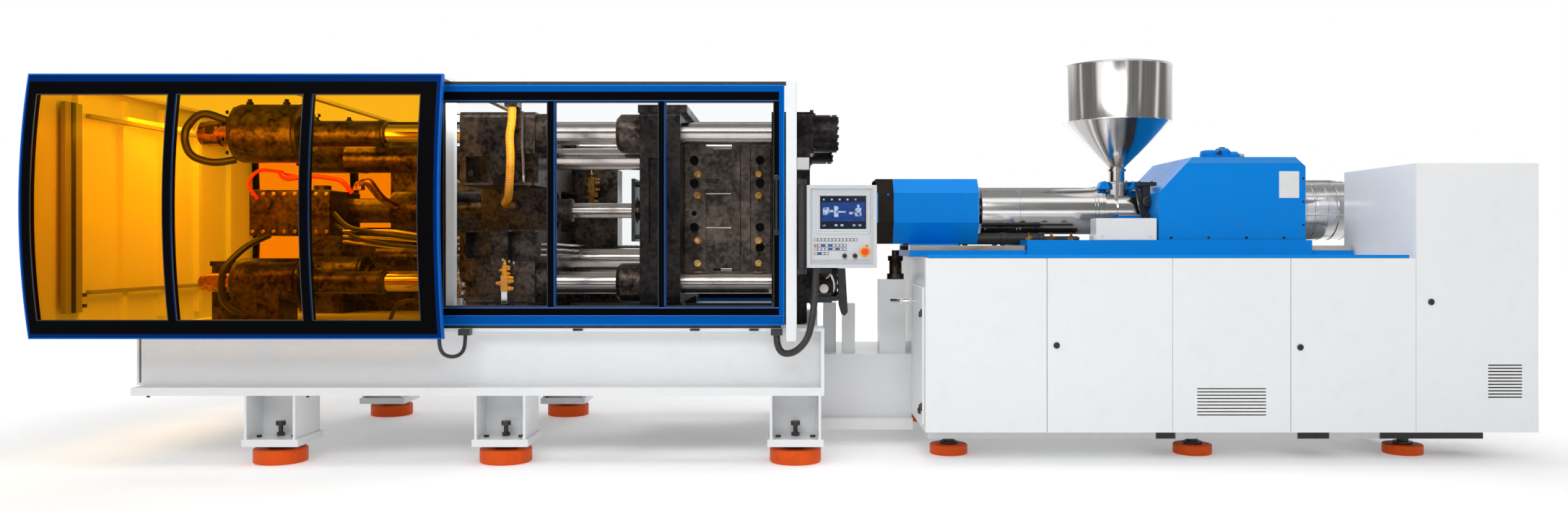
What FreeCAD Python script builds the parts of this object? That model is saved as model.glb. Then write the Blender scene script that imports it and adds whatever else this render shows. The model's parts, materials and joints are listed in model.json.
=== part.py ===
"""Hydraulic injection moulding machine with a horizontal clamp, built as separate pieces.

Millimetres, +Z up.  +X runs from the clamp end to the injection end, -Y is the operator's
side.  The origin is on the floor, in the middle of the machine's length and width.

The clamp end (left) stands on two I-beams: a rear platen that holds the closing cylinder, a
moving platen, a fixed platen, four tie bars with stretch cylinders behind, and the guards with
their sliding gates.  The injection end (right) is a cabinet base that carries a sliding
carriage with the barrel, the hopper, the drive and the blue covers.
"""
import FreeCAD, Part
import math
import os

V = FreeCAD.Vector

# ---------------------------------------------------------------- driving dimensions
# lengths along X, one after another from the clamp end
guard_length = 2515.0          # curved clamp guard
gate_bay = 2080.0              # sliding gates, up to the closing post
post_width = 67.0
bridge_bay = 803.0             # open bay between the two bases
panel_widths = (758.0, 783.0, 738.0, 781.0)   # front panels of the low cabinet
tall_cabinet_length = 765.0

# heights
pad_height = 92.0
foot_plate_bottom = 118.0
foot_plate_thickness = 46.0
beam_bottom = 438.0
beam_top = 860.0
guard_bottom = 810.0
guard_top = 2420.0
gate_bottom = 880.0
gate_top = 2380.0
post_bottom = 780.0
post_top = 2400.0
axis_height = 1632.0           # clamp axis and barrel axis
cabinet_bottom = 210.0
cabinet_top = 1300.0
tall_cabinet_top = 1892.0
hopper_top = 2674.0

# widths, as half widths from the middle plane
guard_half_width = 1400.0
guard_bulge = 90.0             # how far the guard's curved face stands out at mid height
gate_half_width = 1200.0
cabinet_half_width = 1200.0
beam_flange_edge = 1180.0      # outer edge of the I-beam flanges
beam_flange_width = 260.0
tall_cabinet_depth = 940.0

# clamp unit
tie_bar_y = 550.0
tie_bar_z = 505.0
tie_bar_diameter = 150.0
stretch_rod_diameter = 122.0
platen_half_width = 700.0
platen_half_height = 640.0
fixed_platen_thickness = 256.0
fixed_mould_thickness = 280.0
moving_mould_thickness = 330.0
moving_platen_thickness = 270.0
clamp_daylight = 700.0         # moving platen's back to the rear platen, mould shut
rear_platen_thickness = 500.0
mould_half_width = 420.0
mould_half_height = 443.0
ejector_stroke = 50.0
ram_rod_diameter = 110.0
ram_bore = 200.0
ram_outer = 278.0
traverse_rod_diameter = 150.0
traverse_y = 300.0
traverse_z = 350.0
rail_height = 80.0

# injection unit
barrel_cover_radius = 173.0
barrel_radius = 95.0
screw_radius = 40.0
hopper_radius = 386.0
hopper_sheet = 3.0
carriage_travel = 300.0
screw_stroke = 200.0
cover_half_width = 440.0

# sheet, plate and clearances
sheet = 12.0
frame_depth = 40.0
glass = 8.0
gate_depth = 50.0
door_thickness = 19.5
hinge_pin_radius = 2.0
seam = 4.0
fit = 0.3                      # clearance round what is fixed in a bore, radial
slide = 0.6                    # clearance of sliding and turning pieces, radial
rest_gap = 0.5                 # closing gap of doors and of what slides on a rail
mating_gap = 0.3               # gap of the closed mould and of seated nozzle

# ---------------------------------------------------------------- stations along X
low_cabinet_length = sum(panel_widths)
machine_length = (guard_length + gate_bay + post_width + bridge_bay
                  + low_cabinet_length + tall_cabinet_length)
x_guard = -machine_length / 2
x_gate_bay = x_guard + guard_length
x_post = x_gate_bay + gate_bay
x_post_end = x_post + post_width
x_cabinet = x_post_end + bridge_bay
x_tall = x_cabinet + low_cabinet_length
x_end = x_tall + tall_cabinet_length

x_fixed_face = x_post - 100.0                         # mould face of the fixed platen
x_fixed_back = x_fixed_face + fixed_platen_thickness
x_parting = x_fixed_face - fixed_mould_thickness      # where the mould opens
x_moving_face = x_parting - moving_mould_thickness
x_moving_back = x_moving_face - moving_platen_thickness
x_rear_face = x_moving_back - clamp_daylight
x_rear_back = x_rear_face - rear_platen_thickness
x_base = x_guard + 494.0                              # left end of the clamp base
x_base_end = x_post_end + 172.0

z_axis = axis_height
z_top_bar = z_axis + tie_bar_z
z_low_bar = z_axis - tie_bar_z
z_platen_top = z_axis + platen_half_height
z_platen_bottom = z_axis - platen_half_height
z_rail = beam_top + rail_height
bar_places = [(side * tie_bar_y, z) for side in (-1, 1) for z in (z_top_bar, z_low_bar)]


# ---------------------------------------------------------------- shape helpers
def block(x0, x1, y0, y1, z0, z1):
    """Box between two opposite corners."""
    low = V(min(x0, x1), min(y0, y1), min(z0, z1))
    return Part.makeBox(abs(x1 - x0), abs(y1 - y0), abs(z1 - z0), low)


def rod_x(x0, x1, y, z, radius):
    return Part.makeCylinder(radius, abs(x1 - x0), V(min(x0, x1), y, z), V(1, 0, 0))


def rod_y(y0, y1, x, z, radius):
    return Part.makeCylinder(radius, abs(y1 - y0), V(x, min(y0, y1), z), V(0, 1, 0))


def rod_z(z0, z1, x, y, radius):
    return Part.makeCylinder(radius, abs(z1 - z0), V(x, y, min(z0, z1)), V(0, 0, 1))


def tube_x(x0, x1, y, z, outer, inner):
    return rod_x(x0, x1, y, z, outer).cut(rod_x(x0 - 1, x1 + 1, y, z, inner))


def turned(profile, place, axis):
    """Solid of revolution: profile is a closed list of (along, radius) points."""
    points = [V(along, radius, 0) for along, radius in profile]
    face = Part.Face(Part.makePolygon(points + points[:1]))
    solid = face.revolve(V(0, 0, 0), V(1, 0, 0), 360)
    if axis == "z":
        solid.rotate(V(0, 0, 0), V(0, 1, 0), -90)
    solid.translate(place)
    return solid


def prism_x(points, x0, x1):
    """Straight bar along X with an outline of (y, z) points."""
    corners = [V(x0, y, z) for y, z in points]
    return Part.Face(Part.makePolygon(corners + corners[:1])).extrude(V(x1 - x0, 0, 0))


def prism_y(points, y0, y1):
    """Plate across Y with an outline of (x, z) points."""
    corners = [V(x, y0, z) for x, z in points]
    return Part.Face(Part.makePolygon(corners + corners[:1])).extrude(V(0, y1 - y0, 0))


def hexagon_z(x, y, z0, z1, across):
    corner = across / math.sqrt(3)
    points = [V(x + corner * math.cos(math.radians(60 * k)),
                y + corner * math.sin(math.radians(60 * k)), z0) for k in range(7)]
    return Part.Face(Part.makePolygon(points)).extrude(V(0, 0, z1 - z0))


def mirrored(shape):
    """The same piece on the other side of the middle plane."""
    return shape.mirror(V(0, 0, 0), V(0, 1, 0))


def both_sides(shape):
    return [shape, mirrored(shape)]


def joined(first, *others):
    result = first
    for other in others:
        result = result.fuse(other)
    return result.removeSplitter()


def drilled(shape, *tools):
    for tool in tools:
        shape = shape.cut(tool)
    return shape


def route_tube(points, diameter):
    """Round tube along straight runs joined by tangent arcs; prints each arc's radius."""
    points = [V(*p) for p in points]
    edges = []
    start = points[0]
    for before, corner, after in zip(points, points[1:], points[2:]):
        into = (corner - before).normalize()
        out = (after - corner).normalize()
        turn = into.getAngle(out)
        setback = 0.45 * min((corner - before).Length, (after - corner).Length)
        radius = setback / math.tan(turn / 2)
        first = corner - into * setback
        last = corner + out * setback
        inward = (out - into).normalize()
        middle = corner + inward * (radius / math.cos(turn / 2) - radius)
        edges.append(Part.LineSegment(start, first).toShape())
        edges.append(Part.Arc(first, middle, last).toShape())
        start = last
        print("  bend radius %.0f mm (%.1f diameters)" % (radius, radius / diameter))
    edges.append(Part.LineSegment(start, points[-1]).toShape())
    path = Part.Wire(edges)
    heading = points[1] - points[0]
    ring = Part.Wire(Part.makeCircle(diameter / 2, points[0], heading))
    tube = path.makePipeShell([ring], True, False)
    length = path.Length
    section = math.pi * diameter ** 2 / 4
    print("  cord length %.0f mm, volume ratio %.4f" % (length, tube.Volume / (section * length)))
    return tube


# ---------------------------------------------------------------- bases and feet
x_legs = (x_base + 870.0, x_base + 2310.0, x_base_end - 180.0)
leg_width = 320.0
leg_depth = 380.0
leg_plate = 15.0
foot_y = 1020.0                # pads of the clamp base, from the middle plane
foot_plate_width = 352.0
pad_radius = 164.0
stud_radius = 14.0
stud_top = 258.0
side_bolt_spacing = 220.0
flange_thickness = 50.0
top_flange_thickness = 20.0
web_thickness = 20.0
deck_thickness = 10.0
web_y = beam_flange_edge - beam_flange_width / 2
beam_inner_edge = beam_flange_edge - beam_flange_width

injection_foot_y = 730.0
injection_pad_radius = 125.0
injection_pad_height = 66.0
skid_bottom = 110.0
skid_half_width = 90.0
x_injection_feet = (x_cabinet + 206.0, x_cabinet + 1826.0, x_tall + 163.0)


def clamp_base():
    """Two I-beams, box cross members, a deck plate behind the mould area and end plates."""
    web = block(x_base, x_base_end, web_y - web_thickness / 2, web_y + web_thickness / 2,
                beam_bottom + flange_thickness, beam_top - top_flange_thickness)
    low_flange = block(x_base, x_base_end, beam_inner_edge, beam_flange_edge,
                       beam_bottom, beam_bottom + flange_thickness)
    top_flange = block(x_base, x_base_end, beam_inner_edge, beam_flange_edge,
                       beam_top - top_flange_thickness, beam_top)
    end_plate = block(x_base_end - 20, x_base_end, beam_inner_edge, beam_flange_edge,
                      beam_bottom + flange_thickness, beam_top - top_flange_thickness)
    beam = joined(web, low_flange, top_flange, end_plate)
    solids = both_sides(beam)
    member_bottom = beam_bottom + flange_thickness
    member_top = beam_top - deck_thickness
    inner_web = web_y - web_thickness / 2
    for x in (x_base + 60, x_legs[0], (x_legs[0] + x_legs[1]) / 2, x_legs[1],
              x_moving_back - 60, x_legs[2] - 30):
        tube = block(x - 100, x + 100, -inner_web, inner_web, member_bottom, member_top)
        tube = tube.cut(block(x - 85, x + 85, -inner_web - 1, inner_web + 1,
                              member_bottom + 15, member_top - 15))
        for beam_solid in both_sides(beam):
            tube = tube.cut(beam_solid)
        solids.append(tube)
    solids.append(block(x_base, x_rear_back, -beam_inner_edge, beam_inner_edge,
                        member_top, beam_top))
    return solids


def clamp_legs():
    """H-section legs: two side plates, a web set back and a drilled foot plate."""
    legs = []
    y_front = -beam_flange_edge
    y_back = y_front + leg_depth
    y_web = y_front + 230.0
    plate_top = foot_plate_bottom + foot_plate_thickness
    for x in x_legs:
        half = leg_width / 2
        left = block(x - half, x - half + leg_plate, y_front, y_back, plate_top, beam_bottom)
        right = block(x + half - leg_plate, x + half, y_front, y_back, plate_top, beam_bottom)
        web = block(x - half, x + half, y_web, y_web + leg_plate, plate_top, beam_bottom)
        plate = block(x - foot_plate_width / 2, x + foot_plate_width / 2, y_front,
                      y_back + 16, foot_plate_bottom, plate_top)
        leg = joined(left, right, web, plate)
        leg = leg.cut(rod_z(foot_plate_bottom - 1, plate_top + 1, x, -foot_y, stud_radius + 1))
        legs += both_sides(leg)
    return legs


def machine_pads():
    """Levelling pads: thick round discs with a dished top edge, two sizes."""
    pads = []
    for x in x_legs:
        for y in (-foot_y, foot_y):
            pad = rod_z(0, pad_height, x, y, pad_radius)
            pads.append(pad.makeFillet(12, pad.Edges[:1] + pad.Edges[2:3]))
    for x in x_injection_feet:
        for y in (-injection_foot_y, injection_foot_y):
            pad = rod_z(0, injection_pad_height, x, y, injection_pad_radius)
            pads.append(pad.makeFillet(10, pad.Edges[:1] + pad.Edges[2:3]))
    return pads


def levelling_screws():
    """Screw with a round foot disc, two nuts and a knob; one on every pad."""
    screws = []
    plate_top = foot_plate_bottom + foot_plate_thickness
    for x in x_legs:
        for y in (-foot_y, foot_y):
            foot = rod_z(pad_height, foot_plate_bottom, x, y, 75)
            stem = rod_z(pad_height, stud_top, x, y, stud_radius)
            nut = hexagon_z(x, y, plate_top, plate_top + 22, 46)
            knob = rod_z(stud_top - 26, stud_top, x, y, 30)
            screws.append(joined(foot, stem, nut, knob))
    for x in x_injection_feet:
        for y in (-injection_foot_y, injection_foot_y):
            foot = rod_z(injection_pad_height, injection_pad_height + 16, x, y, 60)
            nut = hexagon_z(x, y, injection_pad_height + 16, skid_bottom, 70)
            screws.append(joined(foot, nut))
    return screws


def foot_bolts():
    """Hexagon heads on the foot plates, two to a leg on each side of the screw."""
    bolts = []
    plate_top = foot_plate_bottom + foot_plate_thickness
    for x in x_legs:
        for y in (-foot_y - 60, foot_y + 60):
            for shift in (-side_bolt_spacing / 2, side_bolt_spacing / 2):
                bolts.append(hexagon_z(x + shift, y, plate_top, plate_top + 14, 30))
    return bolts


def base_skids():
    """Two longitudinal channels under the cabinets, with cross channels between them."""
    x0 = x_cabinet + 60
    x1 = x_end - 120
    y_in = injection_foot_y - skid_half_width
    beam = block(x0, x1, -injection_foot_y - skid_half_width, -y_in, skid_bottom, cabinet_bottom)
    solids = both_sides(beam)
    for x in x_injection_feet:
        solids.append(block(x - 60, x + 60, -y_in, y_in, skid_bottom, cabinet_bottom))
    return solids


bridge_y = (-350.0, 700.0)
bridge_top = 622.0
bridge_flange_top = 185.0
bridge_flange_edge = 90.0
bridge_post_width = 90.0
bridge_column_top = 1140.0


def bridge_frame():
    """Welded box that ties the two bases together, with two posts beside the fixed platen."""
    x0 = x_base_end
    x1 = x_cabinet
    y0, y1 = bridge_y
    body = block(x0, x1, y0, y1, 110, bridge_top)
    body = body.cut(block(x0 - 1, x1 + 1, y0 + sheet, y1 - sheet, 110 + sheet, bridge_top - sheet))
    flange = block(x0, x1, y0 - bridge_flange_edge, y0, 110, bridge_flange_top)
    post = block(x0 + 150, x0 + 150 + bridge_post_width, y0 + 60, y0 + 150,
                 bridge_top, z_platen_bottom - 20)
    short_post = block(x0 + 20, x0 + 20 + bridge_post_width, y0 + 160, y0 + 250,
                       bridge_top, z_platen_bottom - 20)
    column = block(x1 - 220, x1 - 40, y0 + 40, y0 + 260, bridge_top, bridge_column_top)
    return [joined(body, flange), post, short_post, column]


# ---------------------------------------------------------------- clamp unit
foot_block_y = 430.0
foot_block_width = 240.0
pocket_depth = 120.0
sleeve_radius = 132.0
sleeve_length = 167.0
nut_radius = 127.5
nut_length = 183.0
ejector_rod_radius = 15.0
ejector_plate_bore = 95.0      # clears the closing cylinder's gland
ejector_rod_places = [(side * 90.0, z_axis + lift * 190.0) for side in (-1, 1) for lift in (-1, 1)]
traverse_places = [(-traverse_y, z_axis + traverse_z), (traverse_y, z_axis - traverse_z)]
x_ram_sleeve = x_rear_face + 123.0
x_ram_front = x_rear_face - 76.0
x_ram_rear = x_rear_back - 670.0
x_piston = x_ram_front - 155.0
x_traverse_end = x_rear_back - 220.0
x_stretch_barrel = x_rear_back - 540.0
stretch_barrel_length = 500.0
stretch_flange_length = 60.0
stretch_housing_length = 470.0
stretch_cap_length = 235.0
x_stretch_flange = x_stretch_barrel - stretch_barrel_length
x_stretch_housing = x_stretch_flange - stretch_flange_length
x_stretch_rear = x_stretch_housing - stretch_housing_length


def platen_block(x0, x1, half_height):
    return block(x0, x1, -platen_half_width, platen_half_width,
                 z_axis - half_height, z_axis + half_height)


def platen_feet(x0, x1, z0, z1):
    return [block(x0, x1, side * foot_block_y, side * (foot_block_y + foot_block_width), z0, z1)
            for side in (-1, 1)]


def softened(shape, radius, direction):
    """Rounds the straight edges of a casting that run along one axis and lie at its corners."""
    box = shape.BoundBox
    corners = []
    for edge in shape.Edges:
        if len(edge.Vertexes) != 2:
            continue
        run = edge.Vertexes[1].Point - edge.Vertexes[0].Point
        if abs(run.normalize().dot(direction)) < 0.999:
            continue
        p = edge.CenterOfMass
        at_y = min(abs(p.y - box.YMin), abs(p.y - box.YMax)) < 0.01
        at_z = min(abs(p.z - box.ZMin), abs(p.z - box.ZMax)) < 0.01
        if at_y and at_z:
            corners.append(edge)
    return shape.makeFillet(radius, corners)


def fixed_platen():
    """Cast block with four tie bar bores, a nozzle cone and cored pockets on its back."""
    x0, x1 = x_fixed_face, x_fixed_back
    body = softened(platen_block(x0, x1, platen_half_height), 30, V(1, 0, 0))
    for y, z in bar_places:
        body = body.cut(rod_x(x0 - 1, x1 + 1, y, z, tie_bar_diameter / 2 + fit))
    cone = turned([(0, 0), (0, 60), (140, 60), (fixed_platen_thickness + 1, 190),
                   (fixed_platen_thickness + 1, 0)], V(x0, 0, z_axis), "x")
    body = body.cut(cone)
    for side in (-1, 1):
        body = body.cut(block(x1 - pocket_depth, x1 + 1, side * 300, side * 440,
                              z_axis - 260, z_axis + 260))
        body = body.cut(block(x1 - pocket_depth, x1 + 1, side * 60, side * 380,
                              z_axis + side * 330, z_axis + side * 520))
    return joined(body, *platen_feet(x0 + 20, x1 - 20, beam_top, z_platen_bottom))


def moving_platen():
    """Cast block that slides on the tie bars and on two shoes, with a cap plate on its top."""
    x0, x1 = x_moving_back, x_moving_face
    body = softened(platen_block(x0, x1, platen_half_height), 30, V(1, 0, 0))
    cap = block(x0 - 20, x1 + 40, -platen_half_width + 60, platen_half_width - 60,
                z_platen_top, z_platen_top + 52)
    shoes = [block(x0 - 10, x1 + 10, side * foot_block_y, side * (foot_block_y + foot_block_width),
                   z_rail + rest_gap, z_platen_bottom) for side in (-1, 1)]
    body = joined(body, cap, *shoes)
    for y, z in bar_places:
        body = body.cut(rod_x(x0 - 1, x1 + 50, y, z, tie_bar_diameter / 2 + 2))
    for y, z in ejector_rod_places:
        body = body.cut(rod_x(x0 - 1, x1 + 1, y, z, ejector_rod_radius + slide))
    for side in (-1, 1):
        groove = block(x0 + 60, x1 - 60, side * (platen_half_width - 40),
                       side * (platen_half_width + 1), z_axis - 240, z_axis + 330)
        body = body.cut(groove)
    return body


def platen_bushes():
    """Cast sleeves that guide the moving platen on the tie bars."""
    bushes = []
    for y, z in bar_places:
        step = 26
        profile = [(0, tie_bar_diameter / 2 + slide), (0, sleeve_radius - step),
                   (step, sleeve_radius), (sleeve_length, sleeve_radius),
                   (sleeve_length, tie_bar_diameter / 2 + slide)]
        bushes.append(turned(profile, V(x_moving_back - sleeve_length, y, z), "x"))
    return bushes


def rear_platen():
    """Deep casting, open at both sides around the closing cylinder, with cored pockets."""
    x0, x1 = x_rear_back, x_rear_face
    body = softened(platen_block(x0, x1, platen_half_height), 40, V(1, 0, 0))
    waist = ram_outer / 2 + 10
    for side in (-1, 1):
        body = body.cut(block(x0 - 1, x1 + 1, side * 175, side * (platen_half_width + 1),
                              z_axis - waist, z_axis + waist))
        for lift in (-1, 1):
            body = body.cut(block(x0 + 40, x0 + 205, side * (platen_half_width - 180),
                                  side * (platen_half_width + 1),
                                  z_axis + lift * 165, z_axis + lift * 340))
            body = body.cut(block(x1 - 180, x1 + 1, side * (platen_half_width - 110),
                                  side * (platen_half_width + 1),
                                  z_axis + lift * 165, z_axis + lift * 360))
    for y, z in bar_places:
        boss = rod_x(x1, x1 + 70, y, z, 135)
        body = joined(body, boss)
        body = body.cut(rod_x(x0 - 1, x1 + 71, y, z, tie_bar_diameter / 2 + fit))
    for y, z in traverse_places:
        body = body.cut(rod_x(x0 - 1, x1 + 1, y, z, traverse_rod_diameter / 2 + slide))
    body = body.cut(rod_x(x0 - 1, x1 + 1, 0, z_axis, ram_outer / 2 + fit))
    return joined(body, *platen_feet(x0 + 30, x1 - 30, beam_top, z_platen_bottom))


def tie_bars():
    """Ground bars: thin tail through the stretch cylinders, full size through the platens."""
    bars = []
    for y, z in bar_places:
        tail = rod_x(x_stretch_housing, x_rear_back, y, z, stretch_rod_diameter / 2)
        main = rod_x(x_rear_back, x_fixed_back + nut_length - 20, y, z, tie_bar_diameter / 2)
        bars.append(joined(tail, main))
    return bars


def tie_bar_nuts():
    """Round split nuts behind the fixed platen, each on a square seat plate."""
    nuts = []
    reach = tie_bar_diameter / 2 + fit
    for y, z in bar_places:
        nut = tube_x(x_fixed_back + 24, x_fixed_back + nut_length, y, z, nut_radius, reach)
        seat = block(x_fixed_back, x_fixed_back + 24, y - 145, y + 145, z - 145, z + 145)
        seat = seat.cut(rod_x(x_fixed_back - 1, x_fixed_back + 25, y, z, reach))
        groove = tube_x(x_fixed_back + nut_length - 44, x_fixed_back + nut_length - 32, y, z,
                        nut_radius + 1, nut_radius - 8)
        nuts.append(joined(nut, seat).cut(groove))
    return nuts


def stretch_cylinders():
    """Cylinders on the tie bar tails: barrel, flange and a large rounded housing."""
    cylinders = []
    reach = stretch_rod_diameter / 2 + fit
    for y, z in bar_places:
        upper = z > z_axis
        housing_radius = 198 if upper else 165
        barrel_r = 88 if upper else 75
        x0 = x_stretch_rear
        rounding = 60
        profile = [(0, 0), (0, housing_radius - rounding), (rounding / 2, housing_radius - 12),
                   (rounding, housing_radius), (stretch_housing_length - 20, housing_radius),
                   (stretch_housing_length, housing_radius - 20),
                   (stretch_housing_length, barrel_r + 30),
                   (stretch_housing_length + stretch_flange_length, barrel_r + 30),
                   (stretch_housing_length + stretch_flange_length, barrel_r),
                   (x_stretch_barrel - x0, barrel_r), (x_stretch_barrel - x0, reach),
                   (stretch_housing_length, reach), (stretch_housing_length, 0)]
        cylinder = turned(profile, V(x0, y, z), "x")
        if not upper:
            foot = block(x0 + 60, x0 + 360, y - 150, y + 150, beam_top, z)
            inside = rod_x(x0, x0 + 470, y, z, housing_radius - 5)
            cylinder = joined(cylinder, foot.cut(inside))
        cylinders.append(cylinder)
    return cylinders


def stretch_caps():
    """Bronze end caps with two grooves, on the rear faces of the stretch cylinders."""
    caps = []
    for y, z in bar_places:
        radius = 88 if z > z_axis else 64
        x0 = x_stretch_rear - stretch_cap_length
        profile = [(0, 0), (0, radius - 24), (16, radius - 8), (60, radius - 8), (60, radius),
                   (150, radius), (150, radius - 10), (170, radius - 10), (170, radius),
                   (stretch_cap_length, radius), (stretch_cap_length, 0)]
        caps.append(turned(profile, V(x0, y, z), "x"))
    return caps


def clamp_cylinders():
    """Central closing cylinder with its gland, and the two traverse barrels."""
    bore_front = x_ram_front - 40
    bore_rear = x_ram_rear + 60
    body = rod_x(x_ram_rear, x_ram_front, 0, z_axis, ram_outer / 2)
    body = body.cut(rod_x(bore_rear, bore_front, 0, z_axis, ram_bore / 2))
    gland = rod_x(x_ram_front, x_ram_sleeve, 0, z_axis, 84)
    tail = rod_x(x_ram_rear - 300, x_ram_rear, 0, z_axis, 89)
    body = joined(body, gland, tail)
    body = body.cut(rod_x(bore_front - 1, x_ram_sleeve + 1, 0, z_axis,
                          ram_rod_diameter / 2 + slide))
    solids = [body]
    for y, z in traverse_places:
        barrel = rod_x(x_rear_back - 900, x_rear_back, y, z, traverse_rod_diameter / 2 + 20)
        bore = rod_x(x_rear_back - 870, x_rear_back + 1, y, z, traverse_rod_diameter / 2 + slide)
        solids.append(barrel.cut(bore))
    return solids


def piston_rods():
    """Closing piston with its rod, and two traverse plungers, all on the moving platen."""
    ram = rod_x(x_piston, x_moving_back, 0, z_axis, ram_rod_diameter / 2)
    piston = rod_x(x_piston - 80, x_piston, 0, z_axis, ram_bore / 2 - slide)
    nut = rod_x(x_moving_back - 75, x_moving_back, 0, z_axis, ram_rod_diameter / 2 + 14)
    solids = [joined(ram, piston, nut)]
    for y, z in traverse_places:
        solids.append(rod_x(x_traverse_end, x_moving_back, y, z, traverse_rod_diameter / 2))
    return solids


def ejector():
    """Crosshead plate behind the moving platen with four pins that reach into the mould."""
    plate = block(x_moving_back - 85 - ejector_stroke, x_moving_back - 60 - ejector_stroke,
                  -130, 130, z_axis - 225, z_axis + 225)
    solid = plate.cut(rod_x(plate.BoundBox.XMin - 1, plate.BoundBox.XMax + 1, 0, z_axis,
                            ejector_plate_bore))
    pins = [rod_x(plate.BoundBox.XMax, x_moving_face - 5, y, z, ejector_rod_radius)
            for y, z in ejector_rod_places]
    return joined(solid, *pins)


def moving_mould():
    """Clamp plate, spacer and cavity plate of the moving half, drilled at its sides."""
    x0, x1 = x_moving_face, x_parting
    back = block(x0, x0 + 150, -mould_half_width, mould_half_width,
                 z_axis - mould_half_height, z_axis + mould_half_height)
    front = block(x0 + 150, x1 - mating_gap, -mould_half_width + 24, mould_half_width - 24,
                  z_axis - mould_half_height + 30, z_axis + mould_half_height - 30)
    body = joined(back, front)
    for y, z in ejector_rod_places:
        body = body.cut(rod_x(x0 - 1, x0 + ejector_stroke + 15, y, z, ejector_rod_radius + 4))
    for lift in (-0.72, -0.36, 0.36, 0.72):
        for side in (-1, 1):
            z = z_axis + lift * mould_half_height
            body = body.cut(rod_y(side * (mould_half_width - 40), side * (mould_half_width + 1),
                                  x0 + 75, z, 24))
    return body


def fixed_mould():
    """Fixed half with the sprue bore, the locating ring and side drillings."""
    x0, x1 = x_parting, x_fixed_face
    body = block(x0, x1, -mould_half_width, mould_half_width,
                 z_axis - mould_half_height, z_axis + mould_half_height)
    body = joined(body, rod_x(x1, x1 + 12, 0, z_axis, 60 - fit))
    body = body.cut(rod_x(x0 + 60, x1 + 13, 0, z_axis, 10))
    for lift in (-0.72, -0.36, 0.36, 0.72):
        for side in (-1, 1):
            z = z_axis + lift * mould_half_height
            body = body.cut(rod_y(side * (mould_half_width - 40), side * (mould_half_width + 1),
                                  x1 - 80, z, 24))
    return body


def platen_rails():
    """Hardened strips on the base that the moving platen's shoes slide on."""
    solids = []
    for side in (-1, 1):
        inner = side * (foot_block_y - 15)
        outer = side * (foot_block_y + foot_block_width + 15)
        solids.append(block(x_rear_face + 20, x_fixed_face - 20, inner, outer, beam_top, z_rail))
    return solids


def valve_blocks():
    """Hydraulic manifold on the closing cylinder's tail and a lidded box on the deck."""
    x1 = x_ram_rear - 300
    block_top = z_axis + 130
    block_low = z_axis - 186
    body = block(x1 - 560, x1, -440, 120, block_low, block_top)
    body = body.makeFillet(10, body.Edges)
    port = rod_z(block_top, block_top + 40, x1 - 150, -200, 60)
    relief = rod_y(-480, -440, x1 - 430, z_axis + 40, 40)
    manifold = joined(body, port, relief)
    x0 = x_stretch_rear - 270
    cabinet = block(x0, x0 + 250, -330, -60, beam_top, 1235)
    lid = block(x0 - 10, x0 + 260, -340, -50, 1235, 1268)
    return [manifold, joined(cabinet, lid)]


# racks on the rear beam: (left end, right end, foot, top)
rack_places = ((x_rear_back - 1700, x_rear_back - 970, beam_top, 1520.0),
               (x_rear_back - 970, x_rear_back - 30, beam_top, 2300.0),
               (x_rear_back + 90, x_rear_face + 510, beam_top, 1370.0),
               (x_rear_back + 290, x_rear_face + 330, 1370.0, 1980.0))
rack_inner = platen_half_width + 60.0
rack_outer = beam_flange_edge - 180.0


def rear_racks():
    """Open-backed casings for valves and accumulators, standing on the rear beam."""
    racks = []
    for x0, x1, foot, top in rack_places:
        rack = block(x0, x1, rack_inner, rack_outer, foot, top)
        racks.append(rack.cut(block(x0 + sheet, x1 - sheet, rack_inner + sheet, rack_outer + 1,
                                    foot + sheet, top - sheet)))
    return racks


def bed_actuator():
    """Black adjusting cylinder that stands on the bridge post, under the bed's left end."""
    place = V(x_cabinet - 100, bridge_y[0] + 150, bridge_column_top)
    outline = [(0, 0), (0, 60), (40, 60), (40, 44), (130, 44), (130, 54), (165, 54), (165, 26),
               (205, 26), (205, 0)]
    return turned(outline, place, "z")


# ---------------------------------------------------------------- guards and gates
guard_wall = 30.0
guard_window_edges = ((69.0, 861.0), (917.0, 1679.0), (1740.0, 2387.0))   # from the left end
guard_window_bottom = 926.0
guard_window_top = 2291.0
gate_overlap = 100.0           # how far the shut gate reaches behind the guard
gate_end_gap = 10.0
gate_window_edges = ((43.0, 691.0), (740.0, 1384.0), (1429.0, 2104.0))    # from the gate's left
gate_window_bottom = 999.0
gate_window_top = 2272.0
post_depth = 60.0
x_gate = x_gate_bay - gate_overlap
x_gate_end = x_post - gate_end_gap
gate_inner = gate_half_width - gate_depth


def curved_slab(inset, thickness):
    """Guard face bowed outwards: an arc in the YZ plane, pushed along the guard's length."""
    y_edge = -guard_half_width + inset
    y_middle = y_edge - guard_bulge
    z_middle = (guard_bottom + guard_top) / 2

    def arc(shift):
        return Part.Arc(V(x_guard, y_edge + shift, guard_bottom),
                        V(x_guard, y_middle + shift, z_middle),
                        V(x_guard, y_edge + shift, guard_top)).toShape()
    low = Part.LineSegment(V(x_guard, y_edge, guard_bottom),
                           V(x_guard, y_edge + thickness, guard_bottom)).toShape()
    high = Part.LineSegment(V(x_guard, y_edge, guard_top),
                            V(x_guard, y_edge + thickness, guard_top)).toShape()
    outline = Part.Wire([arc(0), high, arc(thickness), low])
    return Part.Face(outline).extrude(V(guard_length, 0, 0))


def window_space(left, right):
    return block(x_guard + left, x_guard + right, -2 * guard_half_width, 0,
                 guard_window_bottom, guard_window_top)


def guard_front_frame():
    """Bowed frame with three window openings."""
    frame = curved_slab(0, frame_depth)
    for left, right in guard_window_edges:
        frame = frame.cut(window_space(left, right))
    return frame


def guard_rear_frame():
    return mirrored(guard_front_frame())


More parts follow.
